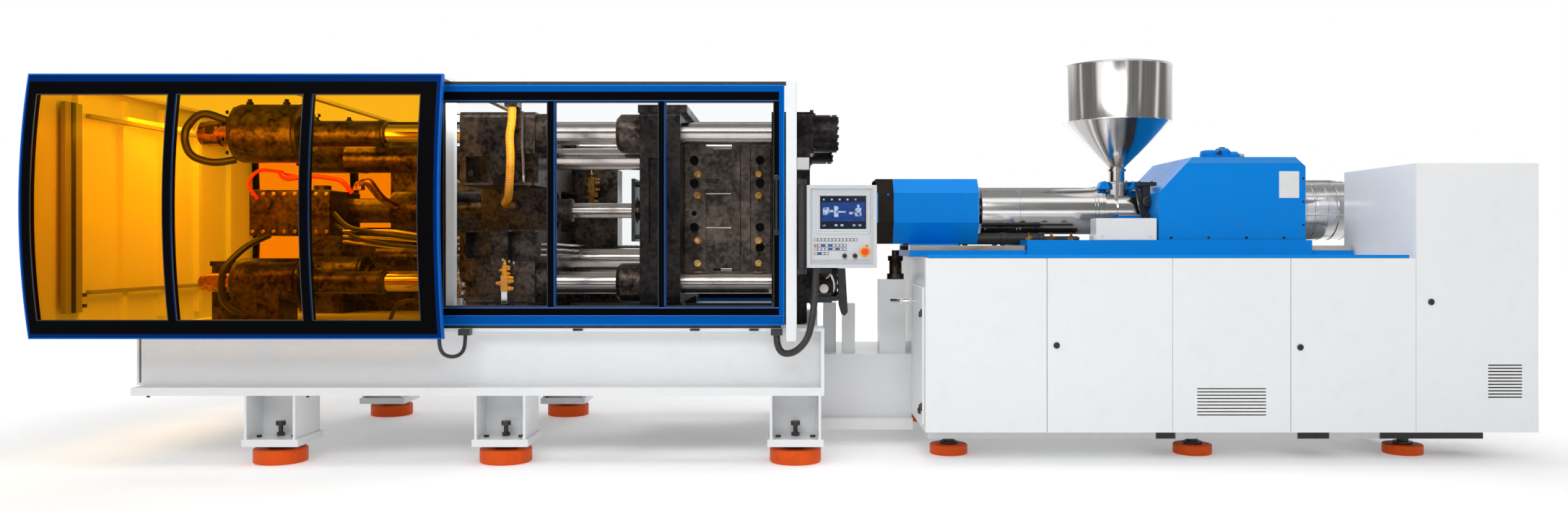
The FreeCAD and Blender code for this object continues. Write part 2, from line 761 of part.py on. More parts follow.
def guard_windows():
    """Amber panes, bowed like the frame and set back in it."""
    panes = []
    pane_slab = curved_slab(10, glass)
    for left, right in guard_window_edges:
        panes += both_sides(pane_slab.common(window_space(left, right)))
    return panes


def guard_end_wall():
    """Ribbed sheet wall at the left end, and bars across the open top."""
    span = guard_half_width + guard_bulge
    solids = []
    wall = block(x_guard, x_guard + guard_wall, -span, span, guard_bottom, guard_top)
    frames = [curved_slab(-200, 200 + frame_depth + fit)]
    frames.append(mirrored(frames[0]))
    wall = drilled(wall, *frames)
    ribs = [block(x_guard + guard_wall, x_guard + guard_wall + 40, y - 25, y + 25,
                  guard_bottom + 60, post_top - 40) for y in (-1000, -500, 0, 500, 1000)]
    solids.append(joined(wall, *ribs))
    for x in (x_guard + guard_wall, x_guard + guard_length / 2, x_gate_bay - 60):
        bar = block(x, x + 50, -span, span, post_top, guard_top)
        solids.append(drilled(bar, *frames))
    return solids


def gate_rails():
    """Rails the gates run on, above and below, and the brackets that carry the guards."""
    solids = []
    low = block(x_base + 40, x_post - 30, -beam_flange_edge + 4, -beam_flange_edge + 20,
                beam_top, gate_bottom - rest_gap)
    high = block(x_guard + guard_wall + fit, x_post, -gate_half_width, -gate_inner,
                 gate_top + rest_gap, post_top)
    for rail in (low, high):
        solids += both_sides(rail)
    guard_face = curved_slab(-200, 200 + frame_depth + fit)
    for x in (x_base + 60, x_guard + guard_length / 2, x_gate_bay - 160):
        arm = block(x, x + 90, -guard_half_width - guard_bulge, -beam_flange_edge,
                    beam_top - 22, beam_top - 2)
        solids += both_sides(arm.cut(guard_face))
    return solids


def closing_posts():
    """White posts: the ones the gates shut against, and the inner ones beside the guard."""
    post = block(x_post, x_post_end, -beam_flange_edge - post_depth, -beam_flange_edge,
                 post_bottom, post_top)
    post = post.makeFillet(6, post.Edges)
    inner_y = -beam_flange_edge + 80
    inner = block(x_gate_bay - 100, x_gate_bay - 20, inner_y, inner_y + 60, beam_top, post_top)
    return both_sides(post) + both_sides(inner)


def gate_frame_shape():
    frame = block(x_gate, x_gate_end, -gate_half_width, -gate_inner, gate_bottom, gate_top)
    for left, right in gate_window_edges:
        frame = frame.cut(block(x_gate + left, x_gate + right, -gate_half_width - 1,
                                -gate_inner + 1, gate_window_bottom, gate_window_top))
    return frame


def gate_window_shapes():
    y0 = -gate_half_width + 20
    return [block(x_gate + left, x_gate + right, y0, y0 + glass,
                  gate_window_bottom, gate_window_top) for left, right in gate_window_edges]


def front_gate_frame():
    return gate_frame_shape()


def front_gate_windows():
    return gate_window_shapes()


def rear_gate_frame():
    return mirrored(gate_frame_shape())


def rear_gate_windows():
    return [mirrored(pane) for pane in gate_window_shapes()]


# ---------------------------------------------------------------- cabinets
bulkheads = [x_cabinet + sum(panel_widths[:k]) for k in range(len(panel_widths) + 1)]
y_front_plane = -cabinet_half_width + door_thickness + rest_gap
tall_rear = -cabinet_half_width + tall_cabinet_depth


def front_panel(x0, x1, z0, z1):
    """Folded panel with softened outer edges."""
    panel = block(x0 + seam / 2, x1 - seam / 2, -cabinet_half_width,
                  -cabinet_half_width + door_thickness, z0 + seam / 2, z1 - seam / 2)
    back = block(x0 + 40, x1 - 40, -cabinet_half_width + 3,
                 -cabinet_half_width + door_thickness + 1, z0 + 40, z1 - 40)
    return panel.cut(back)


def casing(x0, x1, y0, y1, z0, z1, walls):
    """Plates of a welded casing: floor, top, rear wall and the upright walls at given X."""
    plates = [block(x0, x1, y0, y1, z0, z0 + sheet), block(x0, x1, y0, y1, z1 - sheet, z1),
              block(x0, x1, y1 - sheet, y1, z0 + sheet, z1 - sheet)]
    for x in walls:
        left = min(max(x - sheet / 2, x0), x1 - sheet)
        plates.append(block(left, left + sheet, y0, y1 - sheet, z0 + sheet, z1 - sheet))
    return plates


def low_cabinet():
    """Casing of the injection base with bulkheads and two screwed-on front panels."""
    plates = casing(x_cabinet, x_tall, y_front_plane, cabinet_half_width,
                    cabinet_bottom, cabinet_top, bulkheads)
    first = front_panel(bulkheads[0], bulkheads[1], cabinet_bottom, cabinet_top)
    third = front_panel(bulkheads[2], bulkheads[3], cabinet_bottom, cabinet_top)
    slots = []
    middle = (bulkheads[2] + bulkheads[3]) / 2
    for k in range(9):
        z = 318.0 + 20.5 * k
        slots.append(block(middle - 215, middle + 215, -cabinet_half_width - 1,
                           -cabinet_half_width + door_thickness, z, z + 7))
    third = drilled(third, *slots)
    for panel in (first, third):
        panel.translate(V(0, rest_gap, 0))
    return plates + [first, third]


def with_hinge_pin(door):
    """Adds the hinge pin: a bead along the door's right-hand front edge."""
    edges = door.BoundBox
    pin = rod_z(edges.ZMin, edges.ZMax, edges.XMax, -cabinet_half_width, hinge_pin_radius)
    return joined(door, pin)


def left_cabinet_door():
    return with_hinge_pin(front_panel(bulkheads[1], bulkheads[2], cabinet_bottom, cabinet_top))


def right_cabinet_door():
    return with_hinge_pin(front_panel(bulkheads[3], bulkheads[4], cabinet_bottom, cabinet_top))


def tall_cabinet():
    """Electrical cabinet casing at the right-hand end."""
    return casing(x_tall, x_end, y_front_plane, tall_rear, cabinet_bottom, tall_cabinet_top,
                  (x_tall, x_end))


def tall_cabinet_door():
    """Door with a square ventilation grille near its lower right corner."""
    door = front_panel(x_tall, x_end, cabinet_bottom, tall_cabinet_top)
    slots = []
    for k in range(11):
        z = 428.0 + 20.0 * k
        slots.append(block(x_end - 315, x_end - 103, -cabinet_half_width - 1,
                           -cabinet_half_width + door_thickness, z, z + 8))
    return with_hinge_pin(drilled(door, *slots))


def switch_panel():
    """Mounting plate with rows of switchgear inside the tall cabinet."""
    y0 = tall_rear - sheet
    plate = block(x_tall + 60, x_end - 60, y0 - 6, y0, cabinet_bottom + 120,
                  tall_cabinet_top - 80)
    gear = []
    for row in range(4):
        z = cabinet_bottom + 220 + 350 * row
        for column in range(4):
            x = x_tall + 110 + 140 * column
            gear.append(block(x, x + 110, y0 - 126, y0 - 6, z, z + 190))
    return joined(plate, *gear)


def oil_tank():
    """Welded hydraulic oil tank with a filler neck, on the floor of the first bay."""
    z0 = cabinet_bottom + sheet
    tank = block(bulkheads[0] + 80, bulkheads[1] - 80, -700, 900, z0, z0 + 620)
    tank = tank.makeFillet(25, [e for e in tank.Edges if abs(e.BoundBox.ZLength) > 600])
    neck = rod_z(z0 + 620, z0 + 690, bulkheads[0] + 240, -450, 60)
    return joined(tank, neck)


def pump_motor():
    """Electric motor and pump on a common foot, on the floor of the second bay."""
    z0 = cabinet_bottom + sheet
    x = (bulkheads[1] + bulkheads[2]) / 2
    foot = block(x - 200, x + 200, -500, 500, z0, z0 + 40)
    cradle = block(x - 120, x + 120, -380, 380, z0 + 40, z0 + 200)
    motor = rod_y(-420, 180, x, z0 + 330, 210)
    lantern = rod_y(180, 300, x, z0 + 330, 120)
    pump = rod_y(300, 480, x, z0 + 330, 150)
    return joined(foot, cradle, motor, lantern, pump)


# ---------------------------------------------------------------- control panel
panel_left = 73.0              # housing's left edge from the closing post
panel_width = 420.0
panel_bottom = 1240.0
panel_top = 1750.0
panel_front = 1300.0
panel_depth = 85.0
hinge_x = 38.0                 # hinge axis from the closing post
hinge_y = -1230.0
pin_radius = 14.0
sleeve_outer = 28.0
screen_edges = (70.0, 354.0)
screen_heights = (1479.0, 1683.0)
stop_place = (345.0, 1339.0)
selector_places = ((221.0, 1314.0), (285.0, 1314.0))
x_panel = x_post_end + panel_left
x_hinge = x_post_end + hinge_x


def panel_bracket():
    """Two arms on the closing post with the upright pin between them."""
    solids = []
    for z in (panel_bottom - 40, panel_top + 5):
        solids.append(block(x_post_end, x_hinge + 25, hinge_y - 10, hinge_y + 25, z, z + 35))
    pin = rod_z(panel_bottom - 40, panel_top + 40, x_hinge, hinge_y, pin_radius)
    return joined(solids[0], solids[1], pin)


def panel_housing():
    """Housing with a recess for the screen, on a sleeve that turns on the upright pin."""
    y0 = -panel_front
    housing = block(x_panel, x_panel + panel_width, y0, y0 + panel_depth,
                    panel_bottom, panel_top)
    housing = housing.makeFillet(10, housing.Edges)
    sleeve = rod_z(panel_bottom, panel_top, x_hinge, hinge_y, sleeve_outer)
    arm = block(x_hinge, x_panel + 20, hinge_y - 14, hinge_y + 14, panel_bottom + 40,
                panel_top - 40)
    housing = joined(housing, sleeve, arm)
    housing = housing.cut(rod_z(panel_bottom - 1, panel_top + 1, x_hinge, hinge_y,
                                pin_radius + slide))
    left, right = screen_edges
    low, high = screen_heights
    housing = housing.cut(block(x_panel + left, x_panel + right, y0 - 1, y0 + 8, low, high))
    stop_x, stop_z = stop_place
    housing = housing.cut(rod_y(y0 - 1, y0 + 30, x_panel + stop_x, stop_z, 11))
    for x, z in selector_places:
        housing = housing.cut(rod_y(y0 - 1, y0 + 20, x_panel + x, z, 6))
    return housing


def panel_screen():
    left, right = screen_edges
    low, high = screen_heights
    return block(x_panel + left, x_panel + right, -panel_front + 2, -panel_front + 8, low, high)


def emergency_stop():
    """Mushroom button; its stem slides in the housing."""
    x, z = stop_place
    stem = rod_y(-panel_front - 16, -panel_front + 22, x_panel + x, z, 11 - slide)
    head = rod_y(-panel_front - 34, -panel_front - 14, x_panel + x, z, 22)
    head = head.makeFillet(7, [e for e in head.Edges if e.BoundBox.YMax < -panel_front - 30])
    return joined(stem, head)


def selector(place):
    """Round knob with a raised grip, on a short shaft."""
    x, z = place
    shaft = rod_y(-panel_front - 2, -panel_front + 18, x_panel + x, z, 6 - slide)
    knob = rod_y(-panel_front - 16, -panel_front - 1, x_panel + x, z, 14)
    grip = block(x_panel + x - 4, x_panel + x + 4, -panel_front - 24, -panel_front - 16,
                 z - 13, z + 13)
    return joined(shaft, knob, grip)


def left_selector():
    return selector(selector_places[0])


def right_selector():
    return selector(selector_places[1])


# ---------------------------------------------------------------- injection unit
bed_height = 45.0
bed_half_width = 430.0
carriage_rail_height = 33.0
rail_y = (330.0, 410.0)
z_bed = cabinet_top + bed_height
z_rail_top = z_bed + carriage_rail_height
x_bed = x_cabinet - 20.0
x_bed_end = x_tall - 20.0
x_carriage = x_cabinet + 785.0
x_carriage_end = x_tall - carriage_travel - 15.0
carriage_plate = 37.5
z_deck = z_rail_top + rest_gap + carriage_plate
skirt_gap = 12.0
x_hopper = x_cabinet + 1527.0
x_throat = x_cabinet + 1411.0
x_throat_end = x_cabinet + 1690.0
throat_radius = 150.0
throat_step_radius = 130.0
feed_hole_radius = 50.0
x_cover = x_cabinet + 1694.0
x_cover_end = x_cover + 1014.0
cover_top = 1988.0
cover_sheet = 4.0
x_barrel_cover = x_cabinet + 524.0
x_barrel = x_post_end + 333.0
x_nozzle_tip = x_fixed_face + 12.0 + mating_gap
x_pedestal = x_cabinet + 1480.0
x_pedestal_end = x_cabinet + 1830.0
saddle_half_width = 180.0
x_crosshead = x_cabinet + 2050.0
crosshead_length = 180.0
x_drive = x_cover_end + 32.0
drive_length = 420.0
drive_radius = z_axis - z_deck - 4.0
x_screw_tip = x_barrel + 50.0 + screw_stroke + 20.0
x_purge = x_cabinet - 240.0
purge_length = 720.0
purge_half_width = 300.0
purge_foot_length = 330.0
purge_heights = (1390.0, 1539.0, 1747.0, 1850.0)


def injection_bed():
    """Blue machined bed on the cabinet's top."""
    return block(x_bed, x_bed_end, -bed_half_width, bed_half_width, cabinet_top, z_bed)


def carriage_rails():
    """Two ground rails on the bed, for the carriage and the nozzle guard."""
    low, high = rail_y
    rail = block(x_bed, x_bed_end, low, high, z_bed, z_rail_top)
    return both_sides(rail)


def carriage():
    """Deck plate with side skirts over the bed, and a saddle block under the feed throat."""
    z0 = z_rail_top + rest_gap
    edge = bed_half_width + skirt_gap
    deck = block(x_carriage, x_carriage_end, -edge - 18, edge + 18, z0, z_deck)
    skirts = [block(x_carriage, x_carriage_end, side * edge, side * (edge + 18),
                    cabinet_top + 8, z0) for side in (-1, 1)]
    saddle = block(x_pedestal, x_pedestal_end, -saddle_half_width, saddle_half_width,
                   z_deck, z_axis - 42)
    saddle = saddle.cut(rod_x(x_pedestal - 1, x_pedestal_end + 1, 0, z_axis,
                              throat_radius + fit))
    return joined(deck, saddle, *skirts)


def feed_throat():
    """Flanged collar round the barrel with the feed neck on its top."""
    collar = rod_x(x_throat, x_throat_end, 0, z_axis, throat_radius)
    groove = tube_x(x_throat + 69, x_throat + 90, 0, z_axis, throat_radius + 1,
                    throat_step_radius)
    neck = rod_z(z_axis, 1823, x_hopper, 0, 112)
    body = joined(collar.cut(groove), neck)
    body = body.cut(rod_x(x_throat - 1, x_throat_end + 1, 0, z_axis, barrel_radius + fit))
    return body.cut(rod_z(z_axis, 1824, x_hopper, 0, feed_hole_radius))


def barrel():
    """Thick-walled plasticising barrel with a feed opening and a head flange."""
    body = rod_x(x_barrel + 40, x_throat_end, 0, z_axis, barrel_radius)
    head = rod_x(x_barrel + 40, x_barrel + 190, 0, z_axis, barrel_radius + 25)
    body = joined(body, head)
    body = body.cut(rod_x(x_barrel + 39, x_throat_end + 1, 0, z_axis, screw_radius + slide))
    return body.cut(rod_z(z_axis, z_axis + 200, x_hopper, 0, feed_hole_radius - 10))


def barrel_cover():
    """Polished round cover over the heater bands, closed by two end rings."""
    x0, x1 = x_barrel_cover, x_throat
    body = rod_x(x0, x1, 0, z_axis, barrel_cover_radius)
    body = body.cut(rod_x(x0 + 6, x1 - 6, 0, z_axis, barrel_cover_radius - 3))
    return body.cut(rod_x(x0 - 1, x1 + 1, 0, z_axis, barrel_radius + fit))


def nozzle():
    """Long nozzle that reaches through the fixed platen to the mould's sprue."""
    tip = x_nozzle_tip
    profile = [(0, 6), (0, 16), (28, 34), (150, 40), (x_barrel - 60 - tip, 48),
               (x_barrel - 60 - tip, 60), (x_barrel - tip, 60), (x_barrel - tip, 88),
               (x_barrel + 40 - tip, 88), (x_barrel + 40 - tip, 20), (60, 20), (40, 6)]
    return turned(profile, V(tip, 0, z_axis), "x")


def screw():
    """Plasticising screw: tip, ground shank and the drive journal."""
    x1 = x_crosshead - mating_gap
    profile = [(0, 0), (0, 8), (60, screw_radius - 8), (90, screw_radius), (x1 - 180 - x_screw_tip,
               screw_radius), (x1 - 180 - x_screw_tip, screw_radius - 8),
               (x1 - x_screw_tip, screw_radius - 8), (x1 - x_screw_tip, 0)]
    return turned(profile, V(x_screw_tip, 0, z_axis), "x")


def hopper():
    """Sheet hopper: rolled rim, cylinder, cone, neck and a bell-shaped base, open through."""
    s = hopper_sheet
    rim = hopper_radius + 6
    base_z = 1823.0
    levels = [(base_z, 136), (base_z + 10, 136), (1870, 118), (1904, 72), (1912, 56), (1944, 56),
              (2270, hopper_radius), (hopper_top - 14, hopper_radius), (hopper_top - 14, rim),
              (hopper_top, rim), (hopper_top, hopper_radius - s), (2270 + s, hopper_radius - s),
              (1944, 56 - s), (base_z, 56 - s)]
    return turned(levels, V(x_hopper, 0, 0), "z")


def injection_cover():
    """Folded blue cover over the injection drive, open below and at its ends' middle."""
    x0, x1 = x_cover, x_cover_end
    z0, z1 = z_deck, cover_top
    s = cover_sheet

    def outline(inset):
        return [(x0 + inset, z0 - (1 if inset else 0)), (x1 - inset, z0 - (1 if inset else 0)),
                (x1 - inset, z1 - 64 - inset * 0.4), (x1 - 70 - inset * 0.4, z1 - inset),
                (x0 + 234 + inset * 0.4, z1 - inset), (x0 + inset, z1 - 248 - inset * 0.4)]
    shell = prism_y(outline(0), -cover_half_width, cover_half_width)
    shell = shell.cut(prism_y(outline(s), -cover_half_width + s, cover_half_width - s))
    throat_way = joined(rod_x(x0 - 1, x0 + s + 1, 0, z_axis, throat_radius + 12),
                        block(x0 - 1, x0 + s + 1, -saddle_half_width - 4, saddle_half_width + 4,
                              z0 - 1, z_axis))
    shell = shell.cut(throat_way)
    opening = joined(rod_x(x1 - s - 80, x1 + 1, 0, z_axis, drive_radius + 12),
                     block(x1 - s - 80, x1 + 1, -drive_radius - 12, drive_radius + 12,
                           z0 - 1, z_axis))
    shell = shell.cut(opening)
    motor_hole = rod_z(z1 - s - 1, z1 + 1, x0 + 700, 0, 60)
    return shell.cut(motor_hole)


def injection_drive():
    """Crosshead on the deck with the screw motor behind it and a hydraulic head on its end."""
    crosshead = block(x_crosshead, x_crosshead + crosshead_length, -210, 210,
                      z_deck + rest_gap, z_axis + 170)
    body = rod_x(x_crosshead + crosshead_length, x_drive, 0, z_axis, 150)
    motor = rod_x(x_drive, x_drive + drive_length, 0, z_axis, drive_radius)
    motor = motor.makeFillet(12, motor.Edges)
    ring = tube_x(x_drive + 150, x_drive + 162, 0, z_axis, drive_radius + 1, drive_radius - 5)
    second = tube_x(x_drive + 300, x_drive + 312, 0, z_axis, drive_radius + 1, drive_radius - 5)
    return joined(crosshead, body, motor).cut(ring).cut(second)


def purge_guard():
    """Folded tunnel over the nozzle, on feet that slide on the carriage rails."""
    x0, x1 = x_purge, x_purge + purge_length
    low, side_low, side_high, top = purge_heights
    w = purge_half_width
    s = 5.0
    outer = [(-w + 90, low), (-w, side_low), (-w, side_high), (-w + 100, top), (w - 100, top),
             (w, side_high), (w, side_low), (w - 90, low)]
    inner = [(-w + 90 + s, low - 1), (-w + s, side_low), (-w + s, side_high - 2),
             (-w + 102, top - s), (w - 102, top - s), (w - s, side_high - 2),
             (w - s, side_low), (w - 90 - s, low - 1)]
    shell = prism_x(outer, x0, x1).cut(prism_x(inner, x0 - 1, x1 + 1))
    foot_left = x_cabinet - 10
    feet = [block(foot_left, foot_left + purge_foot_length, side * (w - 96), side * rail_y[1],
                  z_rail_top + rest_gap, low) for side in (-1, 1)]
    return joined(shell, *feet)


# ---------------------------------------------------------------- hoses and conduits
hose_diameter = 56.0
conduit_diameter = 44.0
small_conduit_diameter = 24.0
gland_bottom = 820.0           # glands on the edge of the beam, below the gates
hose_head = (-1858.0, -790.0, 2290.0)
hose_port = (-1990.0, -268.0, 1662.0)
conduit_gland = (-108.0, -1212.0)
small_gland = (-2048.0, -1210.0)
# routes: from the upper end to the lower one, kept as chosen points
hose_route = [(-1858, -790, 2289.7), (-1858, -790, 2200), (-1876, -800, 2100),
              (-1866, -800, 1985), (-1870, -795, 1870), (-1886, -760, 1760),
              (-1915, -660, 1695), (-1960, -560, 1672), (-1990, -450, 1662),
              (-1990, -268.3, 1662)]
conduit_route = [(134, -1262, 1239.7), (134, -1262, 1150), (126, -1257, 1030),
                 (112, -1252, 910), (84, -1250, 795), (10, -1246, 716), (-70, -1232, 702),
                 (-108, -1212, 760), (-108, -1212, 819.7)]
small_conduit_route = [(-2158, -1380, 809.7), (-2158, -1380, 760), (-2136, -1358, 708),
                       (-2090, -1300, 690), (-2056, -1240, 712), (-2048, -1210, 765),
                       (-2048, -1210, 819.7)]


def hydraulic_hose():
    return route_tube(hose_route, hose_diameter)


def control_conduit():
    return route_tube(conduit_route, conduit_diameter)


def guard_conduit():
    return route_tube(small_conduit_route, small_conduit_diameter)


def hose_fittings():
    """Elbow block on the rear platen's side and the port boss in its waist."""
    x, y, z = hose_head
    plate = block(x - 42, x + 42, -platen_half_width - 30, -platen_half_width, z - 140, z + 50)
    head = block(x - 42, x + 42, y - 42, -platen_half_width - 30, z, z + 50)
    px, py, pz = hose_port
    boss = rod_y(py, -175, px, pz, 45)
    return [joined(plate, head), boss]


def conduit_glands():
    """Blocks on the beam's edge that the two conduits go into."""
    glands = []
    for x, y in (conduit_gland, small_gland):
        glands.append(block(x - 36, x + 36, y - 32, -beam_flange_edge, gland_bottom,
                            beam_top - 2))
    return glands


# ---------------------------------------------------------------- the nodes
def foot_hardware():
    return levelling_screws() + foot_bolts()


def guard_rails():
    return gate_rails() + conduit_glands()


def hydraulic_blocks():
    return valve_blocks() + hose_fittings() + rear_racks() + [bed_actuator()]


NODES = {
    "clamp_base": clamp_base,
    "clamp_legs": clamp_legs,
    "machine_pads": machine_pads,
    "levelling_screws": foot_hardware,
    "base_skids": base_skids,
    "bridge_frame": bridge_frame,
    "fixed_platen": fixed_platen,
    "moving_platen": moving_platen,
    "platen_bushes": platen_bushes,
    "rear_platen": rear_platen,
    "tie_bars": tie_bars,
    "tie_bar_nuts": tie_bar_nuts,
    "stretch_cylinders": stretch_cylinders,
    "stretch_caps": stretch_caps,
    "clamp_cylinders": clamp_cylinders,
    "piston_rods": piston_rods,
    "ejector": ejector,
    "moving_mould": moving_mould,
    "fixed_mould": fixed_mould,
    "platen_rails": platen_rails,
    "hydraulic_blocks": hydraulic_blocks,
    "guard_front_frame": guard_front_frame,
    "guard_rear_frame": guard_rear_frame,
    "guard_windows": guard_windows,
    "guard_end_wall": guard_end_wall,
    "gate_rails": guard_rails,
    "closing_posts": closing_posts,
    "front_gate_frame": front_gate_frame,
    "front_gate_windows": front_gate_windows,
    "rear_gate_frame": rear_gate_frame,
    "rear_gate_windows": rear_gate_windows,
    "low_cabinet": low_cabinet,
    "left_cabinet_door": left_cabinet_door,
    "right_cabinet_door": right_cabinet_door,
    "tall_cabinet": tall_cabinet,
    "tall_cabinet_door": tall_cabinet_door,
    "switch_panel": switch_panel,
    "oil_tank": oil_tank,
    "pump_motor": pump_motor,
    "panel_bracket": panel_bracket,
    "panel_housing": panel_housing,
    "panel_screen": panel_screen,
    "emergency_stop": emergency_stop,
    "left_selector": left_selector,
    "right_selector": right_selector,
    "injection_bed": injection_bed,
    "carriage_rails": carriage_rails,
    "carriage": carriage,
    "feed_throat": feed_throat,
    "barrel": barrel,
    "barrel_cover": barrel_cover,
    "nozzle": nozzle,
    "screw": screw,
    "hopper": hopper,
    "injection_cover": injection_cover,
    "injection_drive": injection_drive,
    "purge_guard": purge_guard,
    "hydraulic_hose": hydraulic_hose,
    "control_conduit": control_conduit,
    "guard_conduit": guard_conduit,
}


def main():
    os.makedirs("parts", exist_ok=True)
    for name, make in NODES.items():
        made = make()
        solids = made if isinstance(made, list) else [made]
        shape = solids[0] if len(solids) == 1 else Part.makeCompound(solids)
        shape.exportStep("parts/%s.step" % name)
        print("%-20s %3d solids" % (name, len(shape.Solids)))
    print("%d nodes, machine length %.0f" % (len(NODES), machine_length))


main()
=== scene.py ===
# %% [markdown]
# # An injection moulding machine, dressed in Blender
# The machine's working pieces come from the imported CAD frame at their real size.
# This lesson gives every surface its finish and adds what is too fine for CAD: printed
# borders, screws, pipes, seams, hoses and small fittings.
# Units are metres. +X runs from the clamp end to the hopper end, -Y faces the operator.

# %% Load the frame
import json
import math

import bmesh
import bpy
from mathutils import Matrix, Vector


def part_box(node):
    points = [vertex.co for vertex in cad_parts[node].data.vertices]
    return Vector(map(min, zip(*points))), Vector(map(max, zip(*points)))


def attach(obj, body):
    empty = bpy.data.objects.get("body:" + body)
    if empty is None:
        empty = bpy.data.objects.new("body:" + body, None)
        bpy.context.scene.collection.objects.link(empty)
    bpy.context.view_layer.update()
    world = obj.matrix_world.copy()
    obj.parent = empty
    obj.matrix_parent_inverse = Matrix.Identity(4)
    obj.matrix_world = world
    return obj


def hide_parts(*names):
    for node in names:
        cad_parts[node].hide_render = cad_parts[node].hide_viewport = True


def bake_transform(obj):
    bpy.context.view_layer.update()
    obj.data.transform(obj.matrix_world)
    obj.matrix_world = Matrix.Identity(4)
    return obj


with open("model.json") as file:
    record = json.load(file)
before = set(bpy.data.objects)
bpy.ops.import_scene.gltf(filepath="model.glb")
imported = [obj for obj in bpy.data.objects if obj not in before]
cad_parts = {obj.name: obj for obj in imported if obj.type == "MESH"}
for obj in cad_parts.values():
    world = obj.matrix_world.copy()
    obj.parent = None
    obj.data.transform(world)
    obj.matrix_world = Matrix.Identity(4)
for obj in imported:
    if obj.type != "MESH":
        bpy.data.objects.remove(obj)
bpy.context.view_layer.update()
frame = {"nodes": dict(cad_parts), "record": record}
scene = bpy.context.scene

# %% [markdown]
# ## Camera and stage
# The machine is more than nine metres long, so it is viewed from straight in front with a
# short lens. A level camera keeps every upright edge upright; a small lens shift frames it.

# %% Camera
EYE_DISTANCE = 8.4
EYE_HEIGHT = 1.377
LENS = 26.5

camera_data = bpy.data.cameras.new("front_view")
camera_data.lens = LENS
camera_data.sensor_width = 36.0
camera_data.shift_x = -0.0064
camera_data.shift_y = -0.0101
camera_data.clip_end = 200.0
camera = bpy.data.objects.new("front_view", camera_data)
camera.location = (0.0, -EYE_DISTANCE, EYE_HEIGHT)
camera.rotation_euler = (math.radians(90.0), 0.0, 0.0)
scene.collection.objects.link(camera)
scene.camera = camera

# %% [markdown]
# ## Shader maths as plain expressions
# A procedural finish is a small formula: noise times a number, mixed with another colour.
# Wrapping a socket in a class with + - * / lets the formula be read as one, while Blender
# still gets ordinary Math nodes. Colours go through Mix nodes, as Math would turn them grey.


# %% A socket that can be calculated with
class Value:
    """One output socket that holds a number, with the usual operators."""

    def __init__(self, finish, socket):
        self.finish = finish
        self.socket = socket

    def maths(self, operation, *others):
        values = dict(enumerate((self,) + others))
        return self.finish.node("ShaderNodeMath", {"operation": operation}, values)

    def __add__(self, other):
        return self.maths("ADD", other)

    __radd__ = __add__

    def __mul__(self, other):
        return self.maths("MULTIPLY", other)

    __rmul__ = __mul__

    def __sub__(self, other):
        return self.maths("SUBTRACT", other)

    def __rsub__(self, other):
        return self.finish.node("ShaderNodeMath", {"operation": "SUBTRACT"}, {0: other, 1: self})


class Finish:
    """A material made of nodes; node() adds any node, surface() ends it in one shader."""

    def __init__(self, name):
        self.material = bpy.data.materials.new(name)
        self.material.use_nodes = True
        self.tree = self.material.node_tree
        self.tree.nodes.clear()

    def node(self, kind, settings=None, values=None, output=0):
        """Adds a node: its settings first, then the values or links of its sockets."""
        made = self.tree.nodes.new(kind)
        for key, setting in (settings or {}).items():
            if key == "stops":
                ramp = made.color_ramp
                for place, colour in setting[2:]:
                    ramp.elements.new(place).color = (*colour, 1.0)
                for element, (place, colour) in zip((ramp.elements[0], ramp.elements[-1]),
                                                    (setting[0], setting[1])):
                    element.position = place
                    element.color = (*colour, 1.0)
            else:
                setattr(made, key, setting)
        for key, value in (values or {}).items():
            socket = made.inputs[key]
            if isinstance(value, Value):
                self.tree.links.new(value.socket, socket)
            elif isinstance(value, tuple) and socket.type == "RGBA":
                socket.default_value = (*value[:3], 1.0)
            else:
                socket.default_value = value
        return Value(self, made.outputs[output]) if made.outputs else None

    def place(self, stretch=(1.0, 1.0, 1.0)):
        """Object coordinates in metres, stretched for grain that runs one way."""
        where = self.node("ShaderNodeTexCoord", output="Object")
        return self.node("ShaderNodeMapping", {}, {0: where, "Scale": stretch})

    def noise(self, scale, detail=3.0, stretch=(1.0, 1.0, 1.0), roughness=0.5):
        values = {"Vector": self.place(stretch), "Scale": scale, "Detail": detail,
                  "Roughness": roughness}
        return self.node("ShaderNodeTexNoise", {}, values)

    def between(self, amount, low, high):
        """low at amount 0 and high at amount 1, for numbers."""
        return low + (high - low) * amount

    def blended(self, amount, first, second):
        """Mixes two colours by a number."""
        values = {0: amount, 6: first, 7: second}
        settings = {"data_type": "RGBA", "clamp_factor": True}
        return self.node("ShaderNodeMix", settings, values, output=2)

    def band(self, value, low, high):
        """0 below low, 1 above high and an even rise between."""
        settings = {"clamp": True}
        values = {0: value, 1: low, 2: high, 3: 0.0, 4: 1.0}
        return self.node("ShaderNodeMapRange", settings, values)

    def bump(self, height, strength, distance, normal=None):
        values = {"Height": height, "Strength": strength, "Distance": distance}
        if normal is not None:
            values["Normal"] = normal
        return self.node("ShaderNodeBump", {}, values)

    def surface(self, **sockets):
        """Ends the finish in a Principled shader; keys are socket names with _ for spaces."""
        values = {key.replace("_", " "): value for key, value in sockets.items()}
        shader = self.node("ShaderNodeBsdfPrincipled", {}, values)
        self.node("ShaderNodeOutputMaterial", {}, {"Surface": shader})
        return self.material


# %% [markdown]
# ## Studio
# Polished steel has no colour of its own: it shows the room. So the room is the first
# finish to be made. To the camera it is plain white and to matt paint it is an even grey
# glow, while mirrors meet a darker room with bright upright panels, a bright ceiling and a
# bright wall behind the object. Those panels draw the long streaks that say "chrome".

# %% Room
scene.view_settings.view_transform = "Standard"

ROOM_WHITE = 1.0
EVEN_GLOW = 0.50
DIM_WALL = 0.13
PANEL_GLOW = 1.05
CEILING_GLOW = 1.25
ZENITH_GLOW = 0.30
BACK_WALL_GLOW = 0.80

